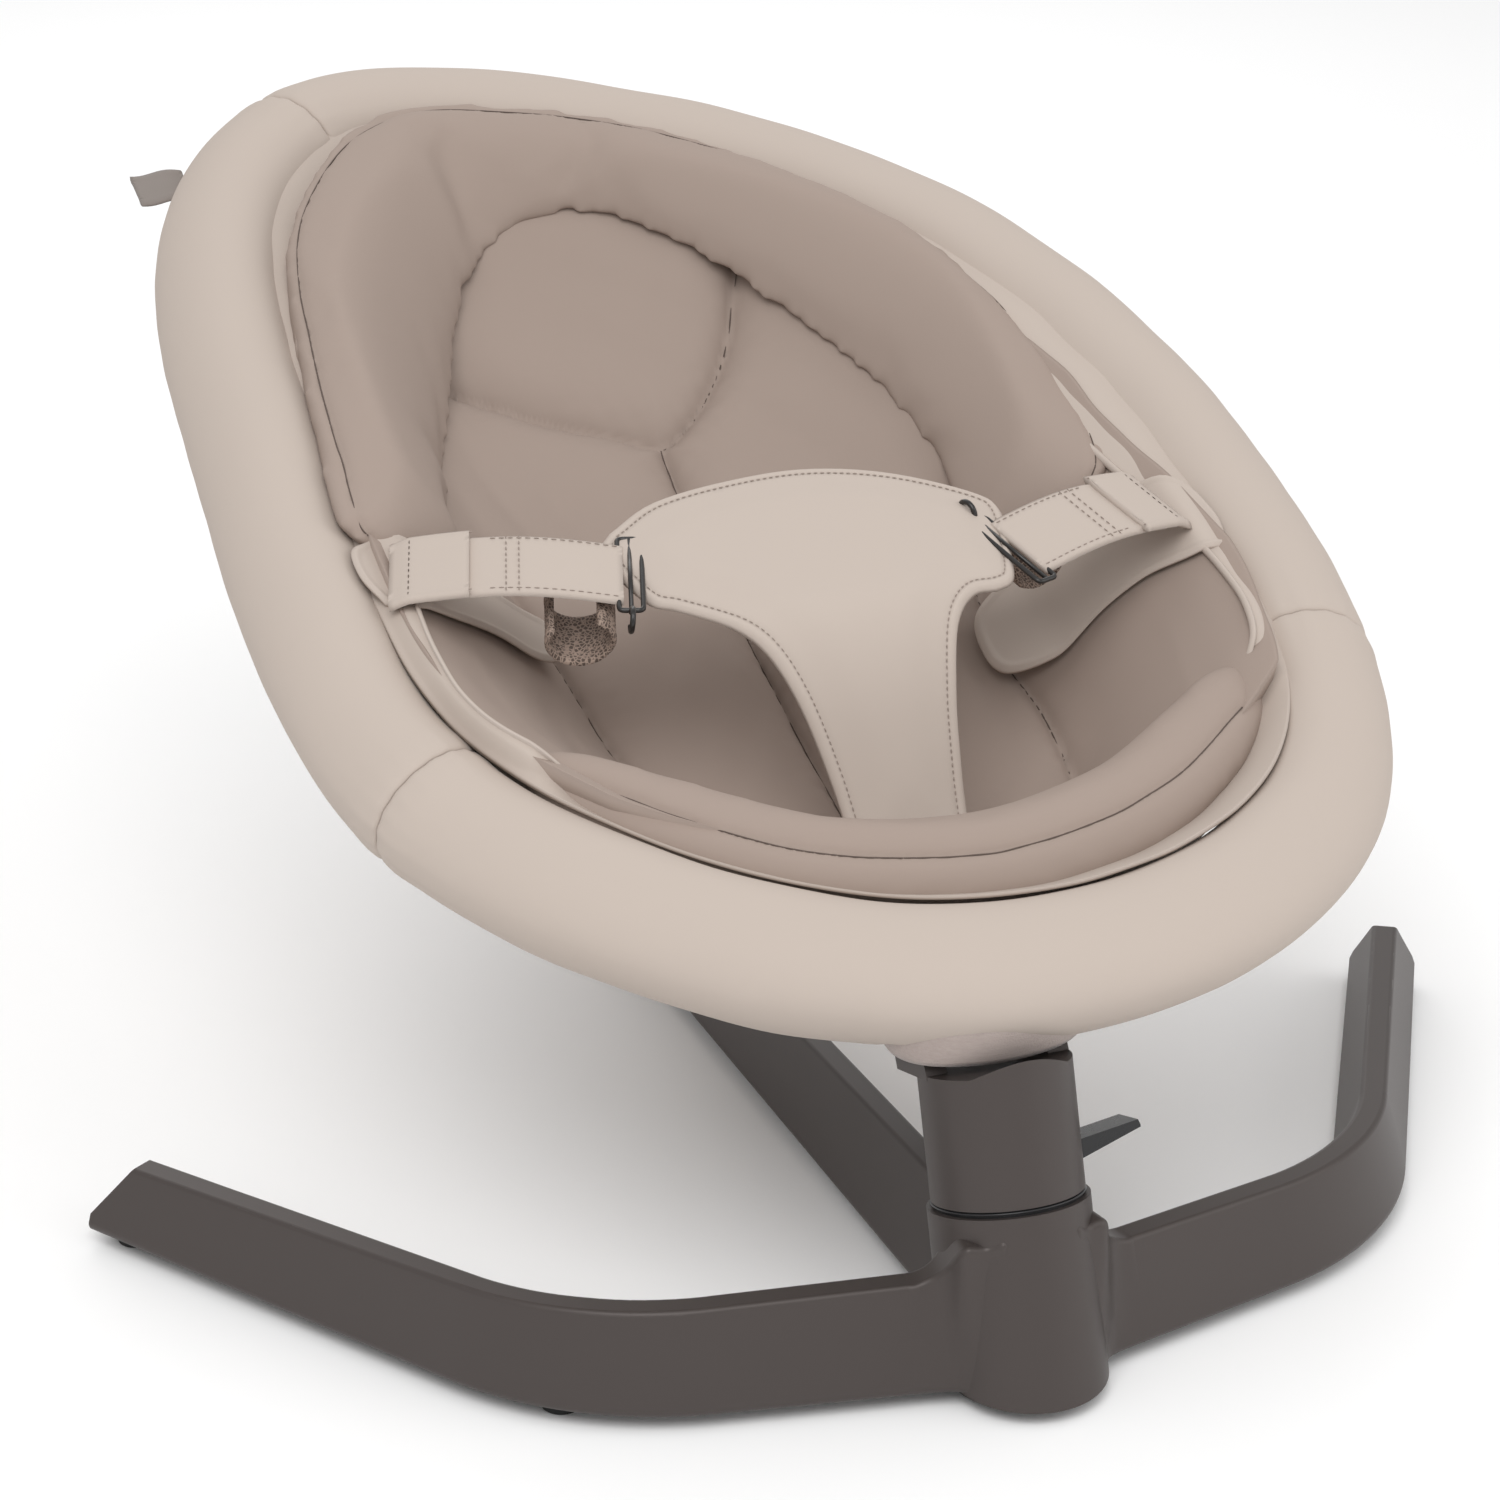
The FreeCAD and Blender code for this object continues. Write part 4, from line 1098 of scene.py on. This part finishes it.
    def bolster(self) -> bpy.types.Object:
        """The U-shaped bolster round the head, between its outer and inner edges."""
        first = math.atan2(self.bolster_outer[-1][1] - RIM.centre[1], self.bolster_outer[-1][0] - RIM.centre[0])
        last = math.atan2(self.bolster_outer[0][1] - RIM.centre[1], self.bolster_outer[0][0] - RIM.centre[0])
        last = last + 2 * math.pi if last < 0 else last
        turn = np.linspace(first, last, 230)
        far, near = self.edge_radius(self.bolster_outer, turn), self.edge_radius(self.bolster_inner, turn)
        way = np.column_stack([np.cos(turn), np.sin(turn)])
        outer, inner = np.array(RIM.centre) + way * far[:, None], np.array(RIM.centre) + way * near[:, None]
        floor, crest = BOWL.height(inner), self.crest(turn)
        run = np.concatenate([[0], np.cumsum(np.linalg.norm(np.diff((outer + inner) / 2, axis=0), axis=1))])
        section = smooth_line(self.bolster_shape + (self.bolster_shape[0],), 73)[:-1]
        hub = np.array((0.45, 0.62))
        rows = []
        for k in range(len(turn)):
            edge = min(run[k], run[-1] - run[k])
            size = math.sqrt(max(0.0, 1 - (1 - min(1.0, (edge + 0.8) / 18)) ** 2)) if edge < 18 else 1.0
            ring = hub + (section - hub) * size
            plan = outer[k] + (inner[k] - outer[k]) * ring[:, :1]
            low = min(floor[k], 4.0)
            n = low + (crest[k] - low) * ring[:, 1]
            rows.append(np.column_stack([plan, n]))
        return Piece.grid("head_bolster_pad", np.array([SEAT.to_row(r) for r in rows]))

    def roll(self) -> bpy.types.Object:
        """The thick roll across the front of the seat."""
        path = smooth_line([(-164, 148, 15), (-150, 128, 14), (-115, 99, 12), (-53, 64, 10), (22, 52, 9),
                            (93, 65, 9), (143, 90, 11), (176, 115, 12), (188, 134, 13)], 110)
        way = np.gradient(path, axis=0)
        way /= np.linalg.norm(way, axis=1)[:, None]
        side = np.cross(way, (0, 0, 1.0))
        side /= np.linalg.norm(side, axis=1)[:, None]
        rows = []
        angle = np.radians(np.linspace(0, 360, 56, endpoint=False))
        for k, (p, d) in enumerate(zip(path, side)):
            t = k / (len(path) - 1)
            taper = max(0.03, math.sin(math.pi * min(max(t, 0.004), 0.996)) ** 0.42)
            wide, tall = 28 * taper, 19 * taper
            shape = np.sign(np.cos(angle)) * np.abs(np.cos(angle)) ** 0.85 * wide
            rise = np.sin(angle) * tall + 0.18 * -shape
            rows.append(p + shape[:, None] * d + np.column_stack([0 * rise, 0 * rise, rise]))
        return Piece.grid("front_roll_pad", np.array([SEAT.to_row(r) for r in rows]))

    def build(self) -> None:
        """Make, swell and dress every pad."""
        self.lining()
        bolster, roll = self.bolster(), self.roll()
        swell = Swelling()
        swell.run(bolster, 5.0, 0.007)
        swell.run(roll, 4.5, 0.006)
        # crease() also lays a thin dark line in the dip: painted shade for the seam.
        self.crease(bolster, self.edge_line(), 2.6, 2.2, "bolster_seam")
        dress(bolster, Finish.JERSEY, "seat", ["head_bolster"])
        self.crease(roll, self.roll_line(), 2.6, 2.2, "roll_seam")
        dress(roll, Finish.JERSEY, "seat", ["front_roll"])

    def edge_line(self) -> Array:
        """Where the bolster's side band is sewn to its top."""
        turn = np.linspace(-0.2, 3.3, 260)
        far = self.edge_radius(self.bolster_outer, turn) - 7.0
        plan = np.array(RIM.centre) + np.column_stack([np.cos(turn), np.sin(turn)]) * far[:, None]
        return SEAT.to_row(np.column_stack([plan, self.crest(turn)]))

    def roll_line(self) -> Array:
        """Where the roll's two halves are sewn together."""
        flat = smooth_line([(-164, 144, 22), (-139, 118, 22), (-104, 87, 22), (-66, 62, 22), (-25, 48, 22),
                            (21, 42, 22), (73, 50, 22), (122, 70, 22), (170, 104, 22)], 160)
        return SEAT.to_row(flat)

    @staticmethod
    def crease(piece: bpy.types.Object, line: Array, wide: float, deep: float, name: str) -> None:
        """Pull a line of the surface inwards, as a sewn seam does.

        Args:
            piece: the pad.
            line: rows of (x, y, z) in metres near the surface.
            wide: half width of the dip in millimetres.
            deep: its depth in millimetres.
            name: the name of the thin dark line laid in the dip, painted shade for the seam's crease.
        """
        data = piece.data
        tree = BVHTree.FromObject(piece, bpy.context.evaluated_depsgraph_get())
        snapped = np.array([tuple(tree.find_nearest(Vector(p))[0]) for p in line])
        count = len(data.vertices)
        flat = np.zeros(count * 3)
        data.vertices.foreach_get("co", flat)
        points = flat.reshape(-1, 3)
        normals = np.zeros(count * 3)
        data.vertices.foreach_get("normal", normals)
        best = np.full(count, 1e9)
        for a, b in zip(snapped, snapped[1:]):
            d = b - a
            size = float(d @ d)
            if size < 1e-12:
                continue
            t = np.clip(((points - a) @ d) / size, 0, 1)
            best = np.minimum(best, np.linalg.norm(points - a - t[:, None] * d, axis=1))
        dip = deep * np.exp(-best / MM / wide) + 0
        points = points - normals.reshape(-1, 3) * (dip * MM)[:, None]
        data.vertices.foreach_set("co", points.ravel())
        data.update()
        Insert.thread(piece, snapped, name)

    @staticmethod
    def thread(piece: bpy.types.Object, line: Array, name: str) -> None:
        """Lay a thin dark line along a closed seam on a pad: painted shade for the seam's crease.

        Args:
            piece: the pad, its mesh final.
            line: rows of (x, y, z) in metres near its surface.
            name: the new piece's name.
        """
        bpy.context.view_layer.update()
        tree = BVHTree.FromObject(piece, bpy.context.evaluated_depsgraph_get())
        path = SEAT.to_seat(np.array([tuple(tree.find_nearest(Vector(p))[0]) for p in line]))
        gaps = np.linalg.norm(np.diff(path, axis=0), axis=1)
        path = path[np.concatenate([[True], gaps > 0.4])]
        for _ in range(14):
            path[1:-1] = (path[:-2] + path[1:-1] * 2 + path[2:]) / 4
        # The dark wire is painted shade in the seam's crease, not a visible thread.
        dress(Wirework(0.35, 6).open(name, path), Finish.THREAD_DARK, "seat")


@dataclass
class Swelling:
    """Fills a pad: remesh, cloth under pressure, then one subdivision."""

    pressure: float = 4.0
    frames: int = 20

    def run(self, piece: bpy.types.Object, voxel: float, cap: float) -> None:
        """Swell one pad in place.

        Args:
            piece: the pad, slightly smaller than it ends.
            voxel: remesh size in millimetres.
            cap: the furthest a point may move, in metres.
        """
        Piece.modify(piece, "REMESH", mode="VOXEL", voxel_size=voxel * MM, use_smooth_shade=True)
        Piece.apply(piece)
        before = self.points(piece)
        cloth = piece.modifiers.new("cloth", "CLOTH")
        cloth.settings.use_pressure = True
        cloth.settings.uniform_pressure_force = self.pressure
        cloth.settings.effector_weights.gravity = 0.0
        cloth.settings.quality = 5
        cloth.collision_settings.use_collision = False
        scene = bpy.context.scene
        for number in range(1, self.frames + 1):
            scene.frame_set(number)
        Piece.apply(piece)
        scene.frame_set(1)
        after = self.points(piece)
        move = after - before
        far = np.linalg.norm(move, axis=1)
        keep = np.minimum(1.0, cap / np.maximum(far, 1e-9))
        self.set_points(piece, before + move * keep[:, None])
        Piece.modify(piece, "CORRECTIVE_SMOOTH", factor=0.5, iterations=4, use_only_smooth=True)
        Piece.modify(piece, "SUBSURF", levels=1, render_levels=1)
        Piece.apply(piece)
        piece.data.polygons.foreach_set("use_smooth", [True] * len(piece.data.polygons))

    @staticmethod
    def points(piece: bpy.types.Object) -> Array:
        """The mesh's points."""
        flat = np.zeros(len(piece.data.vertices) * 3)
        piece.data.vertices.foreach_get("co", flat)
        return flat.reshape(-1, 3)

    @staticmethod
    def set_points(piece: bpy.types.Object, points: Array) -> None:
        """Move the mesh's points."""
        piece.data.vertices.foreach_set("co", points.ravel())
        piece.data.update()


@dataclass
class Band:
    """A flat strap along a line, with rounded long edges."""

    width: float = 42.0
    thick: float = 3.0

    def make(self, name: str, line: Array, across: Array, narrow: Optional[Array] = None) -> bpy.types.Object:
        """Make the strap.

        Args:
            name: the piece's name.
            line: rows of (u, s, n) along its middle.
            across: rows of unit vectors across it.
            narrow: share of the width at each row.

        Returns:
            The new object.
        """
        way = np.gradient(line, axis=0)
        way /= np.linalg.norm(way, axis=1)[:, None]
        up = np.cross(way, across)
        up /= np.linalg.norm(up, axis=1)[:, None]
        share = np.ones(len(line)) if narrow is None else narrow
        lip = self.thick * 0.5
        edge = []
        half = self.width / 2
        for side in (1, -1):
            xs = np.linspace(-1, 1, 15) * side
            for x in xs:
                inset = half - abs(x) * half
                roll = lip * math.sqrt(max(0.0, 1 - (1 - min(1.0, inset / lip)) ** 2))
                bulge = 0.5 * math.exp(-((inset - 3.6) / 1.6) ** 2)
                edge.append((x * half, side * (roll + (bulge if inset > 0 else 0))))
        rows = []
        for p, a, u, k in zip(line, across, up, share):
            rows.append([p + a * x * k + u * y for x, y in edge])
        return Piece.grid(name, np.array([SEAT.to_row(np.array(r)) for r in rows]))


@dataclass
class Harness:
    """Waist straps with their sliders, hooks and mesh loops, and the crotch pad."""

    left_anchor: tuple[float, float, float] = (-184, 262, 33)
    left_buckle: tuple[float, float, float] = (-92, 232, 42)
    right_anchor: tuple[float, float, float] = (186, 240, 31)
    right_buckle: tuple[float, float, float] = (101, 211, 42)
    width: float = 42.0

    def strap(self, side: str, anchor: tuple[float, float, float], buckle: tuple[float, float, float]) -> None:
        """One waist strap with its folded tab, slider, hook and loop."""
        a, b = np.array(anchor), np.array(buckle)
        along = (b - a) / np.linalg.norm(b - a)
        across = np.cross((0, 0, 1.0), along)
        across /= np.linalg.norm(across)
        span = float(np.linalg.norm(b - a))
        t = np.linspace(0.12, 1.02, 26)
        line = a + (b - a) * t[:, None]
        line[:, 2] += 5.5 * np.sin(math.pi * t) + 1.0
        wide = np.tile(across, (len(t), 1))
        strap = Band(self.width, 3.2).make("waist_strap_" + side + "_cloth", line, wide)
        dress(strap, Finish.KNIT, "seat", ["waist_strap_" + side])
        tab_t = np.linspace(-0.06, 0.30, 14)
        tab = a + (b - a) * tab_t[:, None]
        tab[:, 2] += 5.5 * np.sin(math.pi * np.maximum(tab_t, 0)) + 3.6 - 4.0 * ease((0.03 - tab_t) / 0.1)
        piece = Band(self.width + 5, 3.4).make("strap_tab_" + side, tab, np.tile(across, (len(tab), 1)))
        dress(piece, Finish.KNIT, "seat", ["strap_anchor_" + side])
        rows = []
        for offset in (-1, 1):
            for where in (0.02, 0.27):
                p = a + (b - a) * where
                p[2] += 5.5 * math.sin(math.pi * max(where, 0)) + 5.4
                rows.append(SEAT.to_row(np.array([p - across * 18, p + across * 18])))
                break
            edge = tab[2:] + across * offset * (self.width / 2 - 1.0)
            edge[:, 2] += 1.9
            rows.append(SEAT.to_row(edge))
            far = line[8:-1] + across * offset * (self.width / 2 - 3.6)
            far[:, 2] += 2.2
            rows.append(SEAT.to_row(far))
        for where in (0.47, 0.53):
            p = a + (b - a) * where
            p[2] += 5.5 * math.sin(math.pi * where) + 3.1
            rows.append(SEAT.to_row(np.array([p - across * 18, p + across * 18])))
        Stitching().sew("strap_stitches_" + side, rows, Finish.THREAD_PALE, "seat")
        loop_mid = b - along * 16 + np.array([0, 0, -14.0])
        arc = np.linspace(-0.35, 1.15, 20) * math.pi
        ring = loop_mid + np.outer(np.cos(arc) * 15, along) + np.outer(np.sin(arc) * -13, (0, 0, 1.0))
        ring = ring + across * -14.0
        loop = Band(34, 2.2).make("strap_loop_" + side, ring, np.tile(across, (len(ring), 1)))
        dress(loop, Finish.SPACER, "seat")
        self.slider(side, b, along, across)
        log.info("strap %s spans %.0f mm", side, span)

    def slider(self, side: str, at: Array, along: Array, across: Array) -> None:
        """Rectangular wire slider and the hook below it."""
        half, deep = self.width / 2 + 4, 5.5
        mid = at + along * 5.5 + np.array([0, 0, 1.2])
        corners = [(deep, half), (deep, -half), (-deep, -half), (-deep, half)]
        path = []
        for k, (x, y) in enumerate(corners):
            px, py = corners[k - 1]
            nx, ny = corners[(k + 1) % 4]
            p, q, r = np.array((x, y)), np.array((px, py)), np.array((nx, ny))
            a = p + (q - p) / np.linalg.norm(q - p) * 2.5
            c = p + (r - p) / np.linalg.norm(r - p) * 2.5
            for f in np.linspace(0, 1, 6):
                path.append((1 - f) ** 2 * a + 2 * f * (1 - f) * p + f * f * c)
        loop = np.array([mid + along * x + across * y for x, y in path])
        wire = Wirework(1.25).closed("slider_" + side + "_wire", loop)
        bar = Wirework(1.1).open("slider_bar_" + side, np.array([mid - across * half, mid + across * half]))
        dress(wire, Finish.LACQUER, "seat", ["slider_" + side])
        dress(bar, Finish.LACQUER, "seat")
        turn = np.linspace(0, 1.6 * math.pi, 26)
        foot = mid - across * (half + 6.5)
        hook = foot + np.outer(np.cos(turn) * 5.2, across) + np.outer(np.sin(turn) * 5.2, (0, 0, 1.0))
        hook = np.vstack([mid - across * (half - 1), hook])
        piece = Wirework(1.35).open("strap_hook_" + side + "_wire", hook)
        dress(piece, Finish.LACQUER, "seat", ["strap_hook_" + side])

    def crotch(self) -> None:
        """The T-shaped crotch pad with piped edges and stitching."""
        outline = [(-86, 262), (-60, 276), (-20, 281), (20, 281), (60, 272), (96, 254), (104, 240), (98, 214),
                   (90, 192), (80, 186), (66, 184), (54, 172), (48, 150), (46, 128), (44, 108), (40, 100),
                   (14, 96), (-10, 99), (-14, 108), (-18, 128), (-28, 152), (-42, 174), (-58, 190), (-74, 204),
                   (-84, 212), (-92, 236), (-94, 252)]
        ring = smooth_line(outline + [outline[0]], 161)[:-1]

        def level(plan: Array) -> Array:
            """The pad lies over the lap, then drops between the legs."""
            down = ease((192 - plan[:, 1]) / 95)
            crown = 7 * np.cos(np.clip((plan[:, 0] - 6) / 100, -1, 1) * math.pi / 2)
            return 39 + crown * (1 - down) - 72 * down

        top, faces, edge = self.filled(ring, 3.0)
        gap = polyline_distance(top, ring, True)
        gap[: len(ring)] = 0.0
        rise = 3.6 * np.sqrt(np.clip(1 - (1 - np.clip(gap / 4.0, 0, 1)) ** 2, 0, 1))
        rise = rise - 1.1 * np.exp(-((gap - 5.2) / 0.9) ** 2) + 3.0 * ease((gap - 6) / 22)
        upper = np.column_stack([top, level(top) + rise])
        lower = np.column_stack([top, level(top) - 2.2 * ease(gap / 3.0)])
        points = np.vstack([SEAT.to_row(upper), SEAT.to_row(lower)])
        both = [f for f in faces] + [tuple(i + len(top) for i in f[::-1]) for f in faces]
        piece = Piece.mesh("crotch_pad_cloth", points, both)
        dress(piece, Finish.KNIT, "seat", ["crotch_pad"])
        line = SEAT.to_row(np.column_stack([edge, level(edge) + 3.3]))
        Stitching(2.2, 1.0, 0.3).sew("crotch_stitches", [line], Finish.THREAD_PALE, "seat")

    @staticmethod
    def filled(ring: Array, step: float) -> tuple[Array, list[tuple[int, ...]], Array]:
        """Fill a plan outline with small triangles.

        Args:
            ring: the outline.
            step: size of the triangles in millimetres.

        Returns:
            The points with the outline first, the triangles, and a line 5 mm inside the outline.
        """
        way = np.roll(ring, -1, 0) - np.roll(ring, 1, 0)
        way /= np.linalg.norm(way, axis=1)[:, None]
        inward = np.stack([-way[:, 1], way[:, 0]], 1)
        if ((ring.mean(0) - ring) * inward).sum() < 0:
            inward = -inward
        rings = [ring + inward * d for d in (0.5, 1.5, 3.0, 4.3, 5.2, 6.1, 8.0)]
        low, high = ring.min(0), ring.max(0)
        u, v = np.meshgrid(np.arange(low[0], high[0], step), np.arange(low[1], high[1], step))
        grid = np.column_stack([u.ravel(), v.ravel()])
        inside = np.zeros(len(grid), bool)
        for a, b in zip(ring, np.roll(ring, -1, 0)):
            crosses = (a[1] > grid[:, 1]) != (b[1] > grid[:, 1])
            at = a[0] + (grid[:, 1] - a[1]) * (b[0] - a[0]) / (b[1] - a[1] + 1e-12)
            inside ^= crosses & (grid[:, 0] < at)
        grid = grid[inside & (polyline_distance(grid, ring, True) > 10.0)]
        spots = np.vstack([ring] + rings + [grid])
        edges = [(k, (k + 1) % len(ring)) for k in range(len(ring))]
        made = delaunay_2d_cdt([Vector(p) for p in spots], edges, [], 1, 1e-6)
        points = np.array([tuple(p) for p in made[0]])
        return points, [tuple(f) for f in made[2]], np.vstack([rings[4], rings[4][:1]])

    def build(self) -> None:
        """Make the whole harness."""
        self.strap("left", self.left_anchor, self.left_buckle)
        self.strap("right", self.right_anchor, self.right_buckle)
        self.crotch()


@dataclass
class Wirework:
    """Round wire along a path in seat millimetres."""

    radius: float
    sides: int = 10

    def rows(self, path: Array, closed: bool) -> Array:
        """Rings of points round the path."""
        way = (np.roll(path, -1, 0) - np.roll(path, 1, 0)) if closed else np.gradient(path, axis=0)
        way = way / np.linalg.norm(way, axis=1)[:, None]
        normal = np.cross(way[0], (0.31, 0.2, 1.0))
        out = []
        angle = np.linspace(0, 2 * math.pi, self.sides, endpoint=False)
        for p, d in zip(path, way):
            normal = normal - d * (normal @ d)
            normal = normal / np.linalg.norm(normal)
            side = np.cross(d, normal)
            out.append(SEAT.to_row(p + self.radius * (np.outer(np.cos(angle), normal) + np.outer(np.sin(angle), side))))
        return np.array(out)

    def open(self, name: str, path: Array) -> bpy.types.Object:
        """Wire with two closed ends."""
        return Piece.grid(name, self.rows(path, False))

    def closed(self, name: str, path: Array) -> bpy.types.Object:
        """Wire that joins itself."""
        rows = self.rows(path, True)
        rows = np.concatenate([rows, rows[:1]])
        return Piece.grid(name, rows, caps=False)


@dataclass
class MountCuff:
    """Cloth skirt of the cover that hangs over the post's head."""

    wide: float = 47.0
    deep: float = 27.0

    def build(self) -> bpy.types.Object:
        """An open-bottomed skirt from under the rim round the head."""
        angle = np.radians(np.linspace(0, 360, 72, endpoint=False))
        rows = []
        for z, grow in ((0.172, 1.06), (0.162, 1.08), (0.154, 1.04), (0.149, 1.0), (0.1465, 0.965), (0.1472, 0.93),
                        (0.152, 0.93), (0.165, 0.95)):
            x = self.wide * grow * np.cos(angle)
            y = 48 + self.deep * grow * np.sin(angle)
            fold = 1 + 0.012 * np.sin(angle * 5 + 1.0)
            rows.append(np.column_stack([x * MM * fold, y * MM, np.full(len(angle), z)]))
        piece = Piece.grid("mount_cuff", np.array(rows), caps=False)
        return dress(piece, Finish.KNIT_UNDER, "seat")


@dataclass
class SideLabel:
    """Small plain ribbon tab sewn at the head end's left."""

    middle: tuple[float, float, float] = (-205.0, 618.0, 2.0)

    def build(self) -> bpy.types.Object:
        """A folded ribbon where the CAD tab is."""
        s0 = np.array(self.middle)
        line = np.array([(s0[0] + 16 - k * 2.4, s0[1], s0[2] + 1.2 * math.sin(k * 0.5)) for k in range(12)])
        across = np.tile((0, 1.0, 0), (len(line), 1))
        piece = Band(27, 1.8).make("label_ribbon_tab", line, across)
        return dress(piece, Finish.RIBBON, "seat", ["label_tab"])


@dataclass
class Base:
    """The metal and plastic nodes that keep their CAD shape."""

    paint: tuple[str, ...] = ("hub_casting", "left_leg", "right_leg", "rear_leg", "post_sleeve", "mount_head")
    rubber: tuple[str, ...] = ("leg_feet", "hub_foot")
    black: tuple[str, ...] = ("gap_ring", "lock_lever", "recline_button", "friction_discs")
    aluminium: tuple[str, ...] = ("frame_tube_front", "frame_tube_rear", "frame_joiner_left",
                                  "frame_joiner_right", "lower_hoop", "hoop_clamp_left", "hoop_clamp_right",
                                  "recline_knuckle")

    def build(self) -> None:
        """Give every remaining CAD node its finish."""
        groups = {Finish.PAINT: self.paint, Finish.RUBBER: self.rubber, Finish.BLACK: self.black,
                  Finish.ALUMINIUM: self.aluminium}
        chosen = {name: finish for finish, names in groups.items() for name in names}
        for name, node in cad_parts.items():
            finish = chosen.get(name, Finish.STEEL)
            node.data.materials.clear()
            node.data.materials.append(finish.made())

    def gap_bead(self) -> None:
        """The pale bead in the running gap between the hub and the post."""
        tilt = math.radians(17.0)
        angle = np.linspace(0, 2 * math.pi, 96, endpoint=False)
        rows = []
        for a in angle:
            ring = []
            for b in np.linspace(0, 2 * math.pi, 10, endpoint=False):
                r, h = 33.4 + 0.9 * math.cos(b), 0.35 + 0.6 * math.sin(b)
                x, y = r * math.cos(a), r * math.sin(a)
                ring.append((x, 21 + y * math.cos(tilt) + h * math.sin(tilt), 81 - y * math.sin(tilt) + h * math.cos(tilt)))
            rows.append(ring)
        rows.append(rows[0])
        piece = Piece.grid("gap_bead", np.array(rows) * MM, caps=False)
        dress(piece, Finish.BLACK, "base")


# ---------------------------------------------------------------- studio
@dataclass
class Studio:
    """Pale floor, soft lights and the camera."""

    azimuth_deg: float = -22.032
    elevation_deg: float = 23.92
    target: tuple[float, float, float] = (0.0, 0.32067, 0.16961)
    distance: float = 1.96
    lens: float = 96.0

    def camera(self) -> None:
        """Aim the camera."""
        a, e = math.radians(self.azimuth_deg), math.radians(self.elevation_deg)
        back = Vector((math.sin(a) * math.cos(e), -math.cos(a) * math.cos(e), math.sin(e)))
        data = bpy.data.cameras.new("camera")
        data.lens, data.sensor_width = self.lens, 36.0
        data.clip_start, data.clip_end = 0.05, 50
        camera = bpy.data.objects.new("camera", data)
        camera.rotation_mode = "QUATERNION"
        camera.location = Vector(self.target) + back * self.distance
        camera.rotation_quaternion = (-back).to_track_quat("-Z", "Y")
        bpy.context.scene.collection.objects.link(camera)
        bpy.context.scene.camera = camera

    def light(self, name: str, at: tuple[float, float, float], size: float, power: float) -> None:
        """One square soft light aimed at the seat."""
        data = bpy.data.lights.new(name, "AREA")
        data.size, data.energy = size, power
        lamp = bpy.data.objects.new(name, data)
        lamp.location = at
        aim = Vector((0, 0.3, 0.2)) - Vector(at)
        lamp.rotation_mode = "QUATERNION"
        lamp.rotation_quaternion = aim.to_track_quat("-Z", "Y")
        bpy.context.scene.collection.objects.link(lamp)

    def floor(self) -> None:
        """A pale floor that runs out of sight."""
        ring = np.array([(-9, -9, 0), (9, -9, 0), (9, 9, 0), (-9, 9, 0)], float)
        floor = Piece.mesh("floor", ring - (0, 0, 0.0002), [(0, 1, 2, 3)], False)
        s = Shader("studio_floor")
        cloud = s.noise(s.place((1.2, 1.2, 1.2)), 1.0, 2.0)
        s.finish(Base_Color=s.mix(cloud, (0.95, 0.95, 0.95), (0.98, 0.98, 0.98)), Roughness=0.9 + cloud * 0.05)
        floor.data.materials.append(s.material)

    def build(self) -> None:
        """Everything that isn't the object."""
        self.camera()
        self.floor()
        self.light("key", (-0.9, -1.2, 2.4), 1.8, 38)
        self.light("fill", (2.0, -1.3, 1.4), 2.0, 15)
        self.light("back", (0.5, 2.4, 1.9), 2.0, 16)
        world = bpy.data.worlds.new("studio")
        world.use_nodes = True
        world.node_tree.nodes["Background"].inputs[0].default_value = (1.0, 1.0, 1.0, 1.0)
        world.node_tree.nodes["Background"].inputs[1].default_value = 0.68
        bpy.context.scene.world = world
        bpy.context.scene.view_settings.view_transform = "Standard"


def main() -> None:
    """Build the studio and every sub-assembly in order."""
    logging.basicConfig(level=logging.INFO, format="%(message)s")
    Studio().build()
    base = Base()
    base.build()
    base.gap_bead()
    PaddedRim().build()
    Sling().build()
    Insert().build()
    OPENING.build()
    MountCuff().build()
    Harness().build()
    SideLabel().build()


if __name__ == "__main__":
    main()
